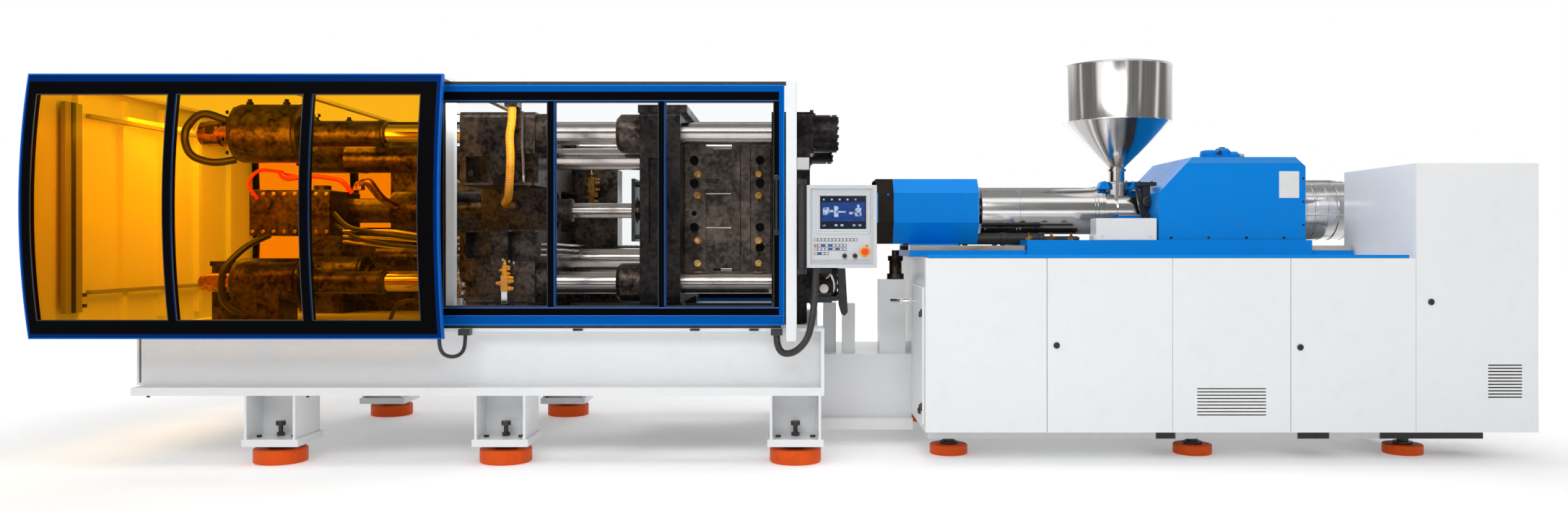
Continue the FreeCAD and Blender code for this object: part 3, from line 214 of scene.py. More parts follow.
world = bpy.data.worlds.new("studio_room")
world.use_nodes = True
scene.world = world


class Room(Finish):
    """The same node maker, working in the world instead of a material."""

    def __init__(self, target):
        self.tree = target.node_tree
        self.tree.nodes.clear()


room = Room(world)
looking = room.node("ShaderNodeTexCoord", output="Generated")
look_x = room.node("ShaderNodeSeparateXYZ", {}, {0: looking}, output=0)
look_y = room.node("ShaderNodeSeparateXYZ", {}, {0: looking}, output=1)
look_z = room.node("ShaderNodeSeparateXYZ", {}, {0: looking}, output=2)
bearing = look_x.maths("ARCTAN2", look_y * -1.0)


def upright_panel(left, right, glow, softness):
    """A bright upright between two bearings in degrees; 0 is behind the camera."""
    low, high, soft = (math.radians(angle) for angle in (left, right, softness))
    rise = room.band(bearing, low, low + soft)
    return rise * (1.0 - room.band(bearing, high - soft, high)) * glow


# left and right bearing, glow and softness of each upright
UPRIGHTS = ((-100, -93, 0.8, 2), (-60, -20, 1.0, 5), (2, 9, 0.85, 2), (32, 38, 0.5, 2),
            (73, 85, 0.75, 3))
panels = upright_panel(*UPRIGHTS[0])
for upright in UPRIGHTS[1:]:
    panels = panels + upright_panel(*upright)
back_wall = room.band(bearing.maths("ABSOLUTE"), math.radians(104), math.radians(118))
thin_lines = room.node("ShaderNodeTexNoise", {"noise_dimensions": "1D"},
                       {"W": bearing, "Scale": 16.0, "Detail": 4.0})
panel_height = room.band(look_z, 0.02, 0.06) * (1.0 - room.band(look_z, 0.42, 0.48))
near_horizon = 1.0 - room.band(look_z.maths("ABSOLUTE"), 0.08, 0.30) * 0.72
wall = panels * panel_height * PANEL_GLOW + back_wall * near_horizon * BACK_WALL_GLOW
wall = wall + thin_lines * 0.22 + (DIM_WALL - 0.06)
ceiling = room.band(look_z, 0.56, 0.66) * (1.0 - room.band(look_z, 0.80, 0.90))
ceiling = ceiling * (1.0 - back_wall)
mirrored = room.between(room.band(look_z, 0.80, 0.92), wall, ZENITH_GLOW)
mirrored = room.between(ceiling, mirrored, CEILING_GLOW)
camera_ray = room.node("ShaderNodeLightPath", output=0)
diffuse_ray = room.node("ShaderNodeLightPath", output=2)
strength = room.between(camera_ray, room.between(diffuse_ray, mirrored, EVEN_GLOW), ROOM_WHITE)
sky = room.node("ShaderNodeBackground", {}, {"Color": (1.0, 1.0, 1.0), "Strength": strength})
room.node("ShaderNodeOutputWorld", {}, {"Surface": sky})
print("room: white to the camera, panelled in mirrors")

# %% [markdown]
# ## Floor and lights
# A sheet of pale paper a good deal larger than the machine, one large softbox in front and
# above, a second one over the top and a weak one behind. Large lamps give soft shadows under
# the levelling pads without a hard line on the white cabinets.

# %% Floor
FLOOR_HALF = 60.0


def flat_sheet(name, half_x, half_y, z):
    sheet = bpy.data.meshes.new(name)
    corners = [(-half_x, -half_y, z), (half_x, -half_y, z), (half_x, half_y, z),
               (-half_x, half_y, z)]
    sheet.from_pydata(corners, [], [(0, 1, 2, 3)])
    made = bpy.data.objects.new(name, sheet)
    scene.collection.objects.link(made)
    return made


floor = flat_sheet("paper_floor", FLOOR_HALF, FLOOR_HALF, 0.0)
paper = Finish("pale_paper")
paper_tone = paper.noise(0.6, 2.0)
here = paper.node("ShaderNodeTexCoord", output="Object")
from_middle = paper.node("ShaderNodeVectorMath", {"operation": "LENGTH"}, {0: here}, output=1)
# Painted light: the paper glows by itself, faintly under the machine and more strongly from 4.6 m
# out, so the floor fades into the white room.
painted_floor_glow = paper.band(from_middle, 4.6, 9.0)
floor.data.materials.append(paper.surface(
    Base_Color=paper.blended(paper_tone, (0.88, 0.88, 0.88), (0.92, 0.92, 0.92)), Roughness=0.85,
    Emission_Color=paper.blended(painted_floor_glow, (0.20, 0.20, 0.20), (0.62, 0.62, 0.62)),
    Emission_Strength=1.0))


# %% Lamps
def softbox(name, place, target, width, height, power):
    lamp = bpy.data.lights.new(name, "AREA")
    lamp.shape = "RECTANGLE"
    lamp.size = width
    lamp.size_y = height
    lamp.energy = power
    made = bpy.data.objects.new(name, lamp)
    made.location = place
    aim = Vector(target) - Vector(place)
    made.rotation_euler = aim.to_track_quat("-Z", "Y").to_euler()
    scene.collection.objects.link(made)
    return made


softbox("front_softbox", (-1.5, -9.5, 6.5), (0.0, 0.0, 1.2), 9.0, 3.0, 330.0)
top_box = softbox("top_softbox", (0.5, -0.5, 7.5), (0.0, 0.0, 1.0), 11.0, 4.0, 300.0)
top_box.visible_glossy = False
gate_fill = softbox("gate_fill", (-1.5, -1.02, 2.26), (-1.7, -0.2, 1.5), 1.9, 0.25, 9.0)
gate_fill.visible_camera = gate_fill.visible_glossy = False
softbox("rear_softbox", (0.0, 9.0, 5.0), (0.0, 0.0, 1.2), 10.0, 3.0, 170.0)
inner_lamp = softbox("guard_work_light", (-3.8, 0.0, 2.20), (-3.9, 0.0, 1.0), 0.9, 1.7, 21.0)
inner_lamp.data.color = (1.0, 0.72, 0.30)
inner_lamp.visible_camera = False
side_lamp = softbox("guard_side_light", (-3.5, -1.25, 2.05), (-4.1, 0.2, 1.65), 1.5, 0.4, 13.0)
side_lamp.data.color = (1.0, 0.74, 0.34)
side_lamp.visible_camera = False

# %% [markdown]
# ## Painted sheet metal
# Powder coat is never quite flat: it has a fine orange peel, the tone drifts a little over a large
# panel, and dust lies in patches. Three noises at very different sizes do this: metres for the
# drift, centimetres for the dust and millimetres for the peel. They drive colour, roughness and
# bump.

# %% Paint
def paint(name, colour, rough=0.34, drift=0.05, grime=(0.20, 0.17, 0.14), grime_amount=0.10,
          peel=0.10, coat=0.25, shine=0.5):
    """Powder coat: colour drift, a little grime, a fine peel in the gloss."""
    finish = Finish(name)
    large = finish.noise(0.8, 2.0)
    cloudy = finish.noise(9.0, 5.0, roughness=0.65)
    fine = finish.noise(420.0, 2.0)
    darker = tuple(channel * (1.0 - drift) for channel in colour)
    toned = finish.blended(large, darker, colour)
    dusty = finish.band(cloudy, 0.52, 0.78) * grime_amount
    finish_colour = finish.blended(dusty, toned, grime)
    roughness = finish.between(cloudy, rough - 0.05, rough + 0.07)
    return finish.surface(Base_Color=finish_colour, Roughness=roughness, Coat_Weight=coat,
                          Coat_Roughness=0.12, Specular_IOR_Level=shine,
                          Normal=finish.bump(fine, peel, 0.0006))


def vertical_place(finish):
    """Height above the floor in metres, as a number for the maths."""
    where = finish.node("ShaderNodeTexCoord", output="Object")
    return finish.node("ShaderNodeSeparateXYZ", {}, {0: where}, output=2)


def length_place(finish):
    where = finish.node("ShaderNodeTexCoord", output="Object")
    return finish.node("ShaderNodeSeparateXYZ", {}, {0: where}, output=0)


FINISHES = {
    "white_paint": paint("white_paint", (0.80, 0.81, 0.82), grime_amount=0.05),
    "orange_pad": paint("orange_pad", (0.86, 0.10, 0.004), rough=0.42, drift=0.25,
                        grime=(0.20, 0.03, 0.01), grime_amount=0.40, peel=0.35, coat=0.0,
                        shine=0.2),
    "blue_paint": paint("blue_paint", (0.0, 0.115, 0.50), rough=0.30, drift=0.25),
    "sky_blue_paint": paint("sky_blue_paint", (0.0, 0.225, 0.72), rough=0.36, drift=0.08,
                            grime_amount=0.04, coat=0.0, shine=0.10),
    "grey_paint": paint("grey_paint", (0.30, 0.31, 0.32), rough=0.42, drift=0.12),
    "panel_grey": paint("panel_grey", (0.56, 0.58, 0.60), rough=0.38, drift=0.06, peel=0.2),
    "black_steel": paint("black_steel", (0.012, 0.012, 0.013), rough=0.40, drift=0.3,
                         grime=(0.09, 0.08, 0.07), grime_amount=0.45, peel=0.3),
    "knob_black": paint("knob_black", (0.010, 0.010, 0.011), rough=0.32, drift=0.3,
                        grime=(0.05, 0.05, 0.05), grime_amount=0.2, peel=0.3, coat=0.1),
    "signal_red": paint("signal_red", (0.85, 0.055, 0.0), rough=0.25, drift=0.2, peel=0.05),
}
print("paints:", ", ".join(FINISHES))

# %% Deck paint
# The injection bed and carriage are blue on their sides and grey on their faces that look up.
deck = Finish("deck_paint")
deck_facing = deck.node("ShaderNodeNewGeometry", output=1)
deck_up = deck.band(deck.node("ShaderNodeSeparateXYZ", {}, {0: deck_facing}, output=2), 0.90, 0.97)
deck_cloud = deck.noise(9.0, 5.0)
deck_blue = deck.blended(deck_cloud, (0.0, 0.21, 0.68), (0.0, 0.235, 0.75))
deck_grey = deck.blended(deck_cloud, (0.30, 0.32, 0.34), (0.46, 0.48, 0.50))
FINISHES["deck_paint"] = deck.surface(
    Base_Color=deck.blended(deck_up, deck_blue, deck_grey), Specular_IOR_Level=0.10,
    Roughness=deck.between(deck_cloud, 0.30, 0.44))

# %% [markdown]
# ## Print on the guards
# The sliding guards are blue frames with a black border printed round each window, and a lighter
# blue line along each frame's outer edge, a painted highlight where the frame folds over. The
# borders are straight lines in the frame's own metres, so they are masks made from position: no
# edge loops are needed in the CAD mesh, and the line stays put when the gate slides.


# %% Guard paint
def bordered_paint(name, blue, rim_highlight_blue, outer, black_from, mullions, sill, lintel,
                   mullion_edge=0.010):
    """Blue round the outside with a painted highlight in lighter blue along its rim, black inside
    it, black mullions with a thin blue right edge.

    outer is the frame's X and Z limits, black_from the X and Z limits of the black print.
    """
    finish = Finish(name)
    across, up = length_place(finish), vertical_place(finish)
    soft = 0.0012
    low_x, high_x, low_z, high_z = black_from
    inside = finish.band(across, low_x - soft, low_x + soft)
    inside = inside * (1.0 - finish.band(across, high_x - soft, high_x + soft))
    inside = inside * finish.band(up, low_z - soft, low_z + soft)
    inside = inside * (1.0 - finish.band(up, high_z - soft, high_z + soft))
    window_high = finish.band(up, sill, sill + soft)
    window_high = window_high * (1.0 - finish.band(up, lintel, lintel + soft))
    blue_lines = None
    for right_edge in mullions:
        strip = finish.band(across, right_edge - mullion_edge, right_edge - mullion_edge + soft)
        strip = strip * (1.0 - finish.band(across, right_edge, right_edge + soft))
        blue_lines = strip if blue_lines is None else blue_lines + strip
    out_x0, out_x1, out_z0, out_z1 = outer
    # Painted highlight: a lighter blue band, 9 mm wide, along the frame's outer edge where it
    # folds over.
    rim = 0.009
    bright = 1.0 - finish.band(across, out_x0 + rim - soft, out_x0 + rim)
    bright = bright + finish.band(across, out_x1 - rim, out_x1 - rim + soft)
    bright = bright + 1.0 - finish.band(up, out_z0 + rim - soft, out_z0 + rim)
    bright = (bright + finish.band(up, out_z1 - rim, out_z1 - rim + soft)).maths("MINIMUM", 1.0)
    drift = finish.noise(1.4, 3.0)
    fine = finish.noise(420.0, 2.0)
    deep_blue = tuple(channel * 0.72 for channel in blue)
    painted = finish.blended(drift, deep_blue, blue)
    painted = finish.blended(bright, painted, rim_highlight_blue)
    print_black = inside * (1.0 - (blue_lines * window_high).maths("MINIMUM", 1.0))
    colour = finish.blended(print_black, painted, (0.0016, 0.0016, 0.0022))
    roughness = finish.between(print_black, 0.32, 0.42) + drift * 0.05
    return finish.surface(Base_Color=colour, Roughness=roughness, Specular_IOR_Level=0.02,
                          Normal=finish.bump(fine, 0.08, 0.0005))


guard_low, guard_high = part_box("guard_front_frame")
gate_low, gate_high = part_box("front_gate_frame")
GUARD_BAND_TOP = 0.050
GUARD_BAND_LOW = 0.031
GUARD_BAND_RIGHT = 0.031
GUARD_BAND_LEFT = 0.018
GATE_BAND_TOP = 0.043
GATE_BAND_LOW = 0.063
GATE_BAND_RIGHT = 0.033
GUARD_OPENINGS = ((-4.576, -3.784), (-3.728, -2.966), (-2.905, -2.258))
GUARD_SILL, GUARD_LINTEL = 0.926, 2.291
GATE_OPENINGS = ((-2.187, -1.539), (-1.490, -0.846), (-0.801, -0.126))
GATE_SILL, GATE_LINTEL = 0.999, 2.272
GUARD_MULLIONS = [opening[0] for opening in GUARD_OPENINGS[1:]]
GATE_MULLIONS = [opening[0] for opening in GATE_OPENINGS[1:]]

# The second colour of each frame is its painted highlight along the outer edge.
FINISHES["navy_paint"] = bordered_paint(
    "navy_paint", (0.0, 0.022, 0.135), (0.006, 0.12, 0.52),
    (guard_low[0], guard_high[0], guard_low[2], guard_high[2]),
    (guard_low[0] + GUARD_BAND_LEFT, guard_high[0] - GUARD_BAND_RIGHT,
     guard_low[2] + GUARD_BAND_LOW, guard_high[2] - GUARD_BAND_TOP),
    GUARD_MULLIONS, GUARD_SILL, GUARD_LINTEL)
FINISHES["gate_paint"] = bordered_paint(
    "gate_paint", (0.0, 0.095, 0.43), (0.004, 0.17, 0.62),
    (gate_low[0], gate_high[0], gate_low[2], gate_high[2]),
    (gate_low[0] - 0.1, gate_high[0] - GATE_BAND_RIGHT,
     gate_low[2] + GATE_BAND_LOW, gate_high[2] - GATE_BAND_TOP),
    GATE_MULLIONS, GATE_SILL, GATE_LINTEL)
print("guard borders ready")

# %% [markdown]
# ## Cast iron, tool steel and chrome
# The clamp's castings are dark and oily: a brown-black skin, mottled at hand size, rough
# where it is dry and glossy where oil lies. The mould is bare tool steel with heat stains.
# Rods and covers are chromed or polished, where the polish itself has very fine lines
# along its length.


# %% Metals
def casting(name, dark, light, rough=(0.26, 0.50), metal=0.9, grain=60.0):
    """Oily dark iron: two mottles in colour, oil in the roughness, sand grain in the bump."""
    finish = Finish(name)
    patches = finish.noise(5.0, 6.0, roughness=0.7)
    spots = finish.noise(34.0, 4.0)
    mottle = finish.band(patches * 0.65 + spots * 0.35, 0.42, 0.62)
    colour = finish.blended(mottle, dark, light)
    oil = finish.band(finish.noise(2.6, 3.0), 0.40, 0.62)
    sand = finish.noise(grain, 5.0, roughness=0.6)
    return finish.surface(Base_Color=colour, Metallic=metal,
                          Roughness=finish.between(oil, rough[0], rough[1]),
                          Specular_IOR_Level=0.3,
                          Normal=finish.bump(sand * 0.6 + patches * 0.4, 0.30, 0.004))


def polished(name, colour, rough, lines=(1.0, 1.0, 1.0), line_scale=300.0, smear=0.10,
             line_strength=0.06, dirt=0.0):
    """Bright steel: fine lines stretched one way, and smears in the roughness."""
    finish = Finish(name)
    line = finish.noise(line_scale, 2.0, stretch=lines)
    cloud = finish.noise(5.0, 4.0)
    stained = finish.band(cloud, 0.50, 0.75) * dirt
    tone = finish.blended(finish.band(line, 0.35, 0.65), tuple(c * 0.88 for c in colour), colour)
    tone = finish.blended(stained, tone, (0.20, 0.17, 0.14))
    return finish.surface(Base_Color=tone, Metallic=1.0,
                          Roughness=rough + cloud * smear + line * 0.04,
                          Normal=finish.bump(line, line_strength, 0.0004))


ALONG_X = (0.02, 1.0, 1.0)
ALONG_Z = (1.0, 1.0, 0.02)
FINISHES["dark_casting"] = casting("dark_casting", (0.016, 0.012, 0.010), (0.15, 0.113, 0.090))
FINISHES["black_casting"] = casting("black_casting", (0.010, 0.009, 0.009), (0.045, 0.040, 0.037),
                                    rough=(0.30, 0.46))
FINISHES["dark_steel"] = casting("dark_steel", (0.014, 0.013, 0.013), (0.07, 0.062, 0.056),
                                 rough=(0.22, 0.45), metal=0.8)
FINISHES["tool_steel"] = casting("tool_steel", (0.040, 0.030, 0.025), (0.185, 0.142, 0.115),
                                 rough=(0.20, 0.44), metal=0.85, grain=120.0)
FINISHES["bronze"] = casting("bronze", (0.20, 0.085, 0.02), (0.62, 0.33, 0.09),
                             rough=(0.24, 0.40), metal=1.0, grain=140.0)
FINISHES["ground_steel"] = polished("ground_steel", (0.68, 0.61, 0.56), 0.13, ALONG_X, dirt=0.5)
FINISHES["polished_steel"] = polished("polished_steel", (0.80, 0.79, 0.78), 0.075, ALONG_X)
FINISHES["hopper_steel"] = polished("hopper_steel", (0.76, 0.73, 0.70), 0.07, ALONG_Z,
                                    line_scale=90.0, line_strength=0.05)
FINISHES["galvanised"] = polished("galvanised", (0.70, 0.71, 0.72), 0.34, smear=0.2, dirt=0.15)
print("metals ready")

# %% [markdown]
# ## Glass, amber panes and the screen
# A pane is two smooth faces, so what is seen through it is not bent and a Transparent
# shader does it: its colour is the share of light that one face lets through. Amber light
# falls inside for the same reason. A Fresnel factor keeps the shine for glancing angles.


# %% Panes
def pane(name, passes, gloss, body, shine=0.04):
    """A clear or tinted pane: each of its two faces lets the colour passes through."""
    finish = Finish(name)
    streaks = finish.noise(3.0, 3.0)
    clear = finish.node("ShaderNodeBsdfTransparent", {}, {"Color": passes})
    skin = finish.node("ShaderNodeBsdfPrincipled", {}, {"Base Color": body, "Roughness": gloss})
    edge_on = finish.node("ShaderNodeFresnel", {}, {"IOR": 1.25})
    amount = (edge_on * 0.6 + streaks * shine).maths("MINIMUM", 1.0)
    both = finish.node("ShaderNodeMixShader", {}, {0: amount, 1: clear, 2: skin})
    finish.node("ShaderNodeOutputMaterial", {}, {"Surface": both})
    return finish.material


FINISHES["amber_pane"] = pane("amber_pane", (1.0, 0.68, 0.085), 0.05, (0.10, 0.03, 0.0), 0.03)
FINISHES["clear_pane"] = pane("clear_pane", (0.985, 0.992, 0.995), 0.03, (0.02, 0.02, 0.02), 0.01)

screen = Finish("screen_glass")
screen_glow = screen.noise(14.0, 3.0)
FINISHES["screen_glass"] = screen.surface(
    Base_Color=screen.blended(screen_glow, (0.002, 0.006, 0.020), (0.004, 0.016, 0.055)),
    Roughness=0.08)
print("finishes:", len(FINISHES))

# %% [markdown]
# ## Hoses
# The pressure hose of the clamp wears a yellow ribbed sleeve, shiny and a little greasy.
# The two conduits are black corrugated plastic. Their rings are real geometry, so the finish only
# adds the sheen of plastic and patches of dust.

# %% Hose finishes
FINISHES["yellow_hose"] = paint("yellow_hose", (0.95, 0.36, 0.006), rough=0.16, drift=0.30,
                                grime=(0.20, 0.06, 0.01), grime_amount=0.5, peel=0.5, coat=0.6)
FINISHES["black_conduit"] = paint("black_conduit", (0.010, 0.010, 0.011), rough=0.38, drift=0.3,
                                  grime=(0.07, 0.065, 0.06), grime_amount=0.4, peel=0.3)

# %% [markdown]
# ## Dressing the CAD pieces
# Every CAD node has a material slot with a name from the record. The node keeps its mesh and
# its place, and gets the finish of that name. Facets of round parts are shaded smooth and
# edges over 30 degrees stay sharp. This is shading only: the vertices stay the CAD's own.

# %% Finish by slot
GATE_NODES = ("front_gate_frame", "rear_gate_frame")
slot_names = {entry["node"]: entry["material_slot"] for entry in frame["record"]["subparts"]}
SMOOTH_BELOW = math.radians(30.0)


def smoothed(piece):
    """Shades by angle, without touching a vertex."""
    for polygon in piece.data.polygons:
        polygon.use_smooth = True
    piece.data.set_sharp_from_angle(angle=SMOOTH_BELOW)


def dressed(node, finish):
    piece = frame["nodes"][node]
    if not piece.material_slots:
        piece.data.materials.append(finish)
    for slot in piece.material_slots:
        slot.material = finish
    smoothed(piece)


for node in frame["nodes"]:
    dressed(node, FINISHES[slot_names[node]])
for node in GATE_NODES:
    dressed(node, FINISHES["gate_paint"])
for node in ("moving_platen", "fixed_platen", "tie_bar_nuts"):
    dressed(node, FINISHES["black_casting"])
for node in ("carriage", "injection_bed"):
    dressed(node, FINISHES["deck_paint"])

# %% Two-tone skids
# The base skids are white like the bridge, and black over three stretches along their length.
skid_finish = Finish("skid_paint")
skid_along = length_place(skid_finish)
BLACK_STRETCHES = ((2.37, 2.50), (3.30, 3.51), (3.84, 9.0))
skid_black = None
for left, right in BLACK_STRETCHES:
    part = skid_finish.band(skid_along, left, left + 0.01) * (
        1.0 - skid_finish.band(skid_along, right, right + 0.01))
    skid_black = part if skid_black is None else skid_black + part
skid_cloud = skid_finish.noise(12.0, 4.0)
skid_white = skid_finish.blended(skid_cloud, (0.66, 0.67, 0.68), (0.78, 0.79, 0.80))
skid_dark = skid_finish.blended(skid_cloud, (0.006, 0.006, 0.006), (0.025, 0.024, 0.022))
dressed("base_skids", skid_finish.surface(
    Base_Color=skid_finish.blended(skid_black, skid_white, skid_dark),
    Roughness=skid_finish.between(skid_cloud, 0.35, 0.5)))
print("dressed", len(frame["nodes"]), "nodes")

# %% [markdown]
# ## A small workbench
# Screws, pipes, fittings and plates are many, but they come from few moves: a block, a turned
# part, a plate cut to an outline and a tube bent along a line. The bench collects such
# bodies in one bmesh, rounds their edges with a bevel and hands over one piece that rides on
# a body of the machine. Working in one mesh keeps fifty screws a single object.


# %% Bench
class Bench:
    """Collects bodies in metres, in the machine's own frame."""

    def __init__(self):
        self.mesh = bmesh.new()

    def block(self, low, high):
        size = [b - a for a, b in zip(low, high)]
        middle = [(a + b) / 2 for a, b in zip(low, high)]
        place = Matrix.Translation(middle) @ Matrix.Diagonal((*size, 1.0))
        bmesh.ops.create_cube(self.mesh, size=1.0, matrix=place)
        return self

    def turned(self, start, along, profile, steps=28):
        """Spins a profile of (distance, radius) pairs about a line from start."""
        turn = Vector(along).to_track_quat("Z", "Y").to_matrix().to_4x4()
        place = Matrix.Translation(start) @ turn
        rings = []
        for distance, radius in profile:
            count = steps if radius > 1e-6 else 1
            ring = []
            for i in range(count):
                angle = 2.0 * math.pi * i / steps
                spot = Vector((radius * math.cos(angle), radius * math.sin(angle), distance))
                ring.append(self.mesh.verts.new(place @ spot))
            rings.append(ring)
        for lower, upper in zip(rings, rings[1:]):
            for i in range(steps):
                j = (i + 1) % steps
                corners = [lower[i % len(lower)], lower[j % len(lower)],
                           upper[j % len(upper)], upper[i % len(upper)]]
                unique = list(dict.fromkeys(corners))
                if len(unique) > 2:
                    self.mesh.faces.new(unique)
        return self

    def disc(self, place, facing, radius, height, steps=28):
        return self.turned(place, facing, [(0, 0), (0, radius), (height, radius), (height, 0)],
                           steps)

    def stepped(self, place, facing, foot, head, steps=28):
        """Two cylinders in one turning; foot and head are (radius, how far out it ends)."""
        (wide, shoulder), (narrow, top) = foot, head
        return self.turned(place, facing, [(0, 0), (0, wide), (shoulder, wide),
                                           (shoulder, narrow), (top, narrow), (top, 0)], steps)

    def rod(self, start, end, radius, steps=24):
        along = Vector(end) - Vector(start)
        length = along.length
        return self.turned(start, along, [(0, 0), (0, radius), (length, radius), (length, 0)],
                           steps)

    def plate(self, outline, axis, near, far):
        """A flat outline of two coordinates, given thickness along axis 0, 1 or 2."""
        def spot(pair, depth):
            values = list(pair)
            values.insert(axis, depth)
            return self.mesh.verts.new(values)
        front = [spot(pair, near) for pair in outline]
        back = [spot(pair, far) for pair in outline]
        self.mesh.faces.new(front)
        self.mesh.faces.new(list(reversed(back)))
        for i in range(len(outline)):
            j = (i + 1) % len(outline)
            self.mesh.faces.new([front[j], front[i], back[i], back[j]])
        return self

    def screw(self, place, facing, radius):
        """Cylinder-head screw with a hexagon socket and a washer under it."""
        head, socket = radius * 1.2, radius * 0.55
        self.turned(place, facing, [(0, 0), (0, radius * 1.45), (radius * 0.2, radius * 1.45),
                                    (radius * 0.2, radius), (head * 0.9, radius),
                                    (head, radius * 0.9), (head, socket),
                                    (head * 0.45, socket * 0.95), (head * 0.45, 0)], 16)
        return self

    def tube(self, points, radius, steps=10, corner=0.045):
        """A bent pipe: straight runs with a rounded corner at each inner point."""
        line = [Vector(points[0])]
        for before, here, after in zip(points, points[1:], points[2:]):
            before, here, after = Vector(before), Vector(here), Vector(after)
            back, ahead = (before - here), (after - here)
            reach = min(corner, back.length * 0.45, ahead.length * 0.45)
            enter, leave = here + back.normalized() * reach, here + ahead.normalized() * reach
            for i in range(7):
                t = i / 6
                line.append(enter * (1 - t) ** 2 + here * 2 * t * (1 - t) + leave * t ** 2)
        line.append(Vector(points[-1]))
        self.sleeve(line, [radius] * len(line), steps)
        return self

    def sleeve(self, line, radii, steps):
        """Rings of given radii along a line, closed at both ends."""
        rings = []
        side = None
        for i, centre in enumerate(line):
            ahead = (line[min(i + 1, len(line) - 1)] - line[max(i - 1, 0)]).normalized()
            if side is None:
                side = ahead.orthogonal().normalized()
            side = (side - ahead * side.dot(ahead)).normalized()
            up = ahead.cross(side)
            ring = []
            for k in range(steps):
                angle = 2.0 * math.pi * k / steps
                out = side * math.cos(angle) + up * math.sin(angle)
                ring.append(self.mesh.verts.new(centre + out * radii[i]))
            rings.append(ring)
        for lower, upper in zip(rings, rings[1:]):
            for k in range(steps):
                j = (k + 1) % steps
                self.mesh.faces.new([lower[k], lower[j], upper[j], upper[k]])
        self.mesh.faces.new(list(reversed(rings[0])))
        self.mesh.faces.new(rings[-1])

    def done(self, name, finish, body, bevel=0.0):
        """Ends the piece: normals, bevel, finish, slot and the body it rides on."""
        bmesh.ops.recalc_face_normals(self.mesh, faces=self.mesh.faces)
        data = bpy.data.meshes.new(name)
        self.mesh.to_mesh(data)
        self.mesh.free()
        piece = bpy.data.objects.new(name, data)
        scene.collection.objects.link(piece)
        data.materials.append(FINISHES[finish])
        if bevel > 0.0:
            rounding = piece.modifiers.new("rounding", "BEVEL")
            rounding.width = bevel
            rounding.segments = 2
            rounding.limit_method = "ANGLE"
            rounding.angle_limit = math.radians(35.0)
        smoothed(piece)
        if body:
            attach(piece, body)
        return piece


print("bench ready")

# %% [markdown]
# ## Hopper
# The hopper is spun sheet steel. The CAD solid has the right shape but coarse facets, and on
# a mirror finish facets show as kinks in every streak. So a finely stepped lathe of the same
# outline replaces it, with the rolled bead of the rim, the weld bead under the cylinder and
# the clamp ring at the neck.

# %% Hopper lathe
hopper_low, hopper_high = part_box("hopper")
hopper_x = (hopper_low[0] + hopper_high[0]) / 2
BOWL_RADIUS = 0.386
NECK_RADIUS = 0.056
SHEET = 0.006
RIM = 0.006
CONE_TOP = hopper_high[2] - 0.404
CONE_FOOT = hopper_high[2] - 0.730
BASE_TOP = hopper_low[2] + 0.012


def hopper_profile():
    """Outside from the base up, round the rim, and back down the inside."""
    top = hopper_high[2]
    outside = [(hopper_low[2], NECK_RADIUS - SHEET), (hopper_low[2], 0.132),
               (hopper_low[2] + 0.002, 0.136), (BASE_TOP - 0.002, 0.136), (BASE_TOP, 0.133),
               (BASE_TOP, 0.062), (BASE_TOP + 0.006, NECK_RADIUS),
               (CONE_FOOT - 0.030, NECK_RADIUS),
               (CONE_FOOT - 0.030, 0.066), (CONE_FOOT - 0.012, 0.066),
               (CONE_FOOT - 0.012, NECK_RADIUS), (CONE_FOOT, NECK_RADIUS)]
    outside += [(CONE_TOP - 0.006, BOWL_RADIUS - 0.008), (CONE_TOP - 0.003, BOWL_RADIUS + 0.0015),
                (CONE_TOP + 0.003, BOWL_RADIUS + 0.0015), (CONE_TOP + 0.006, BOWL_RADIUS)]
    outside += [(top - 2 * RIM, BOWL_RADIUS)]
    for i in range(9):
        angle = math.pi * (-0.5 + i / 8)
        outside.append((top - RIM + RIM * math.sin(angle), BOWL_RADIUS + RIM * math.cos(angle)))
    inside = [(top - RIM, BOWL_RADIUS - SHEET), (CONE_TOP, BOWL_RADIUS - SHEET),
              (CONE_FOOT, NECK_RADIUS - SHEET), (hopper_low[2], NECK_RADIUS - SHEET)]
    return outside + inside


bench = Bench()
bench.turned((hopper_x, 0, 0), (0, 0, 1), hopper_profile(), steps=192)
for i in range(8):
    angle = math.pi * (i + 0.5) / 4
    spot = (hopper_x + 0.108 * math.cos(angle), 0.108 * math.sin(angle), BASE_TOP)
    bench.screw(spot, (0, 0, 1), 0.008)
hopper = bench.done("spun_hopper", "hopper_steel", "carriage")
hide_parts("hopper")
print("hopper rim radius", BOWL_RADIUS + RIM)

# %% [markdown]
# ## Window seals
# Each pane sits in a rubber channel. Seen from the front it is a thin black lip round the
# opening that catches a line of light, and it hides the step between pane and frame. The
# front of the big guard is bowed, so its lips follow the same arc.

# %% Bowed guard
BOW_DEPTH = 0.090
guard_middle = (guard_low[2] + guard_high[2]) / 2
bow_half = (guard_high[2] - guard_low[2]) / 2
bow_radius = (bow_half ** 2 + BOW_DEPTH ** 2) / (2 * BOW_DEPTH)


def bow_front(z):
    """How far out the guard's outer face lies at height z."""
    drop = bow_radius - math.sqrt(bow_radius ** 2 - (z - guard_middle) ** 2)
    return -guard_low[1] - drop


LIP = 0.006


def lip_line(left, right, sill, lintel, front):
    """Closed line round one opening; front(z) is the distance out from the machine."""
    steps = 14
    heights = [sill + (lintel - sill) * i / steps for i in range(steps + 1)]
    rising = [(right, z) for z in heights]
    falling = [(left, z) for z in reversed(heights)]
    return [(x, front(z), z) for x, z in rising + falling]


def window_lips(name, openings, sill, lintel, front, side, body):
    bench = Bench()
    for left, right in openings:
        line = lip_line(left, right, sill, lintel, front)
        points = [Vector((x, side * y, z)) for x, y, z in line]
        points.append(points[0])
        for a, b in zip(points, points[1:]):
            stretch = (b - a).normalized() * LIP * 0.4
            bench.rod(a - stretch, b + stretch, LIP * 0.62, 8)
    return bench.done(name, "knob_black", body)


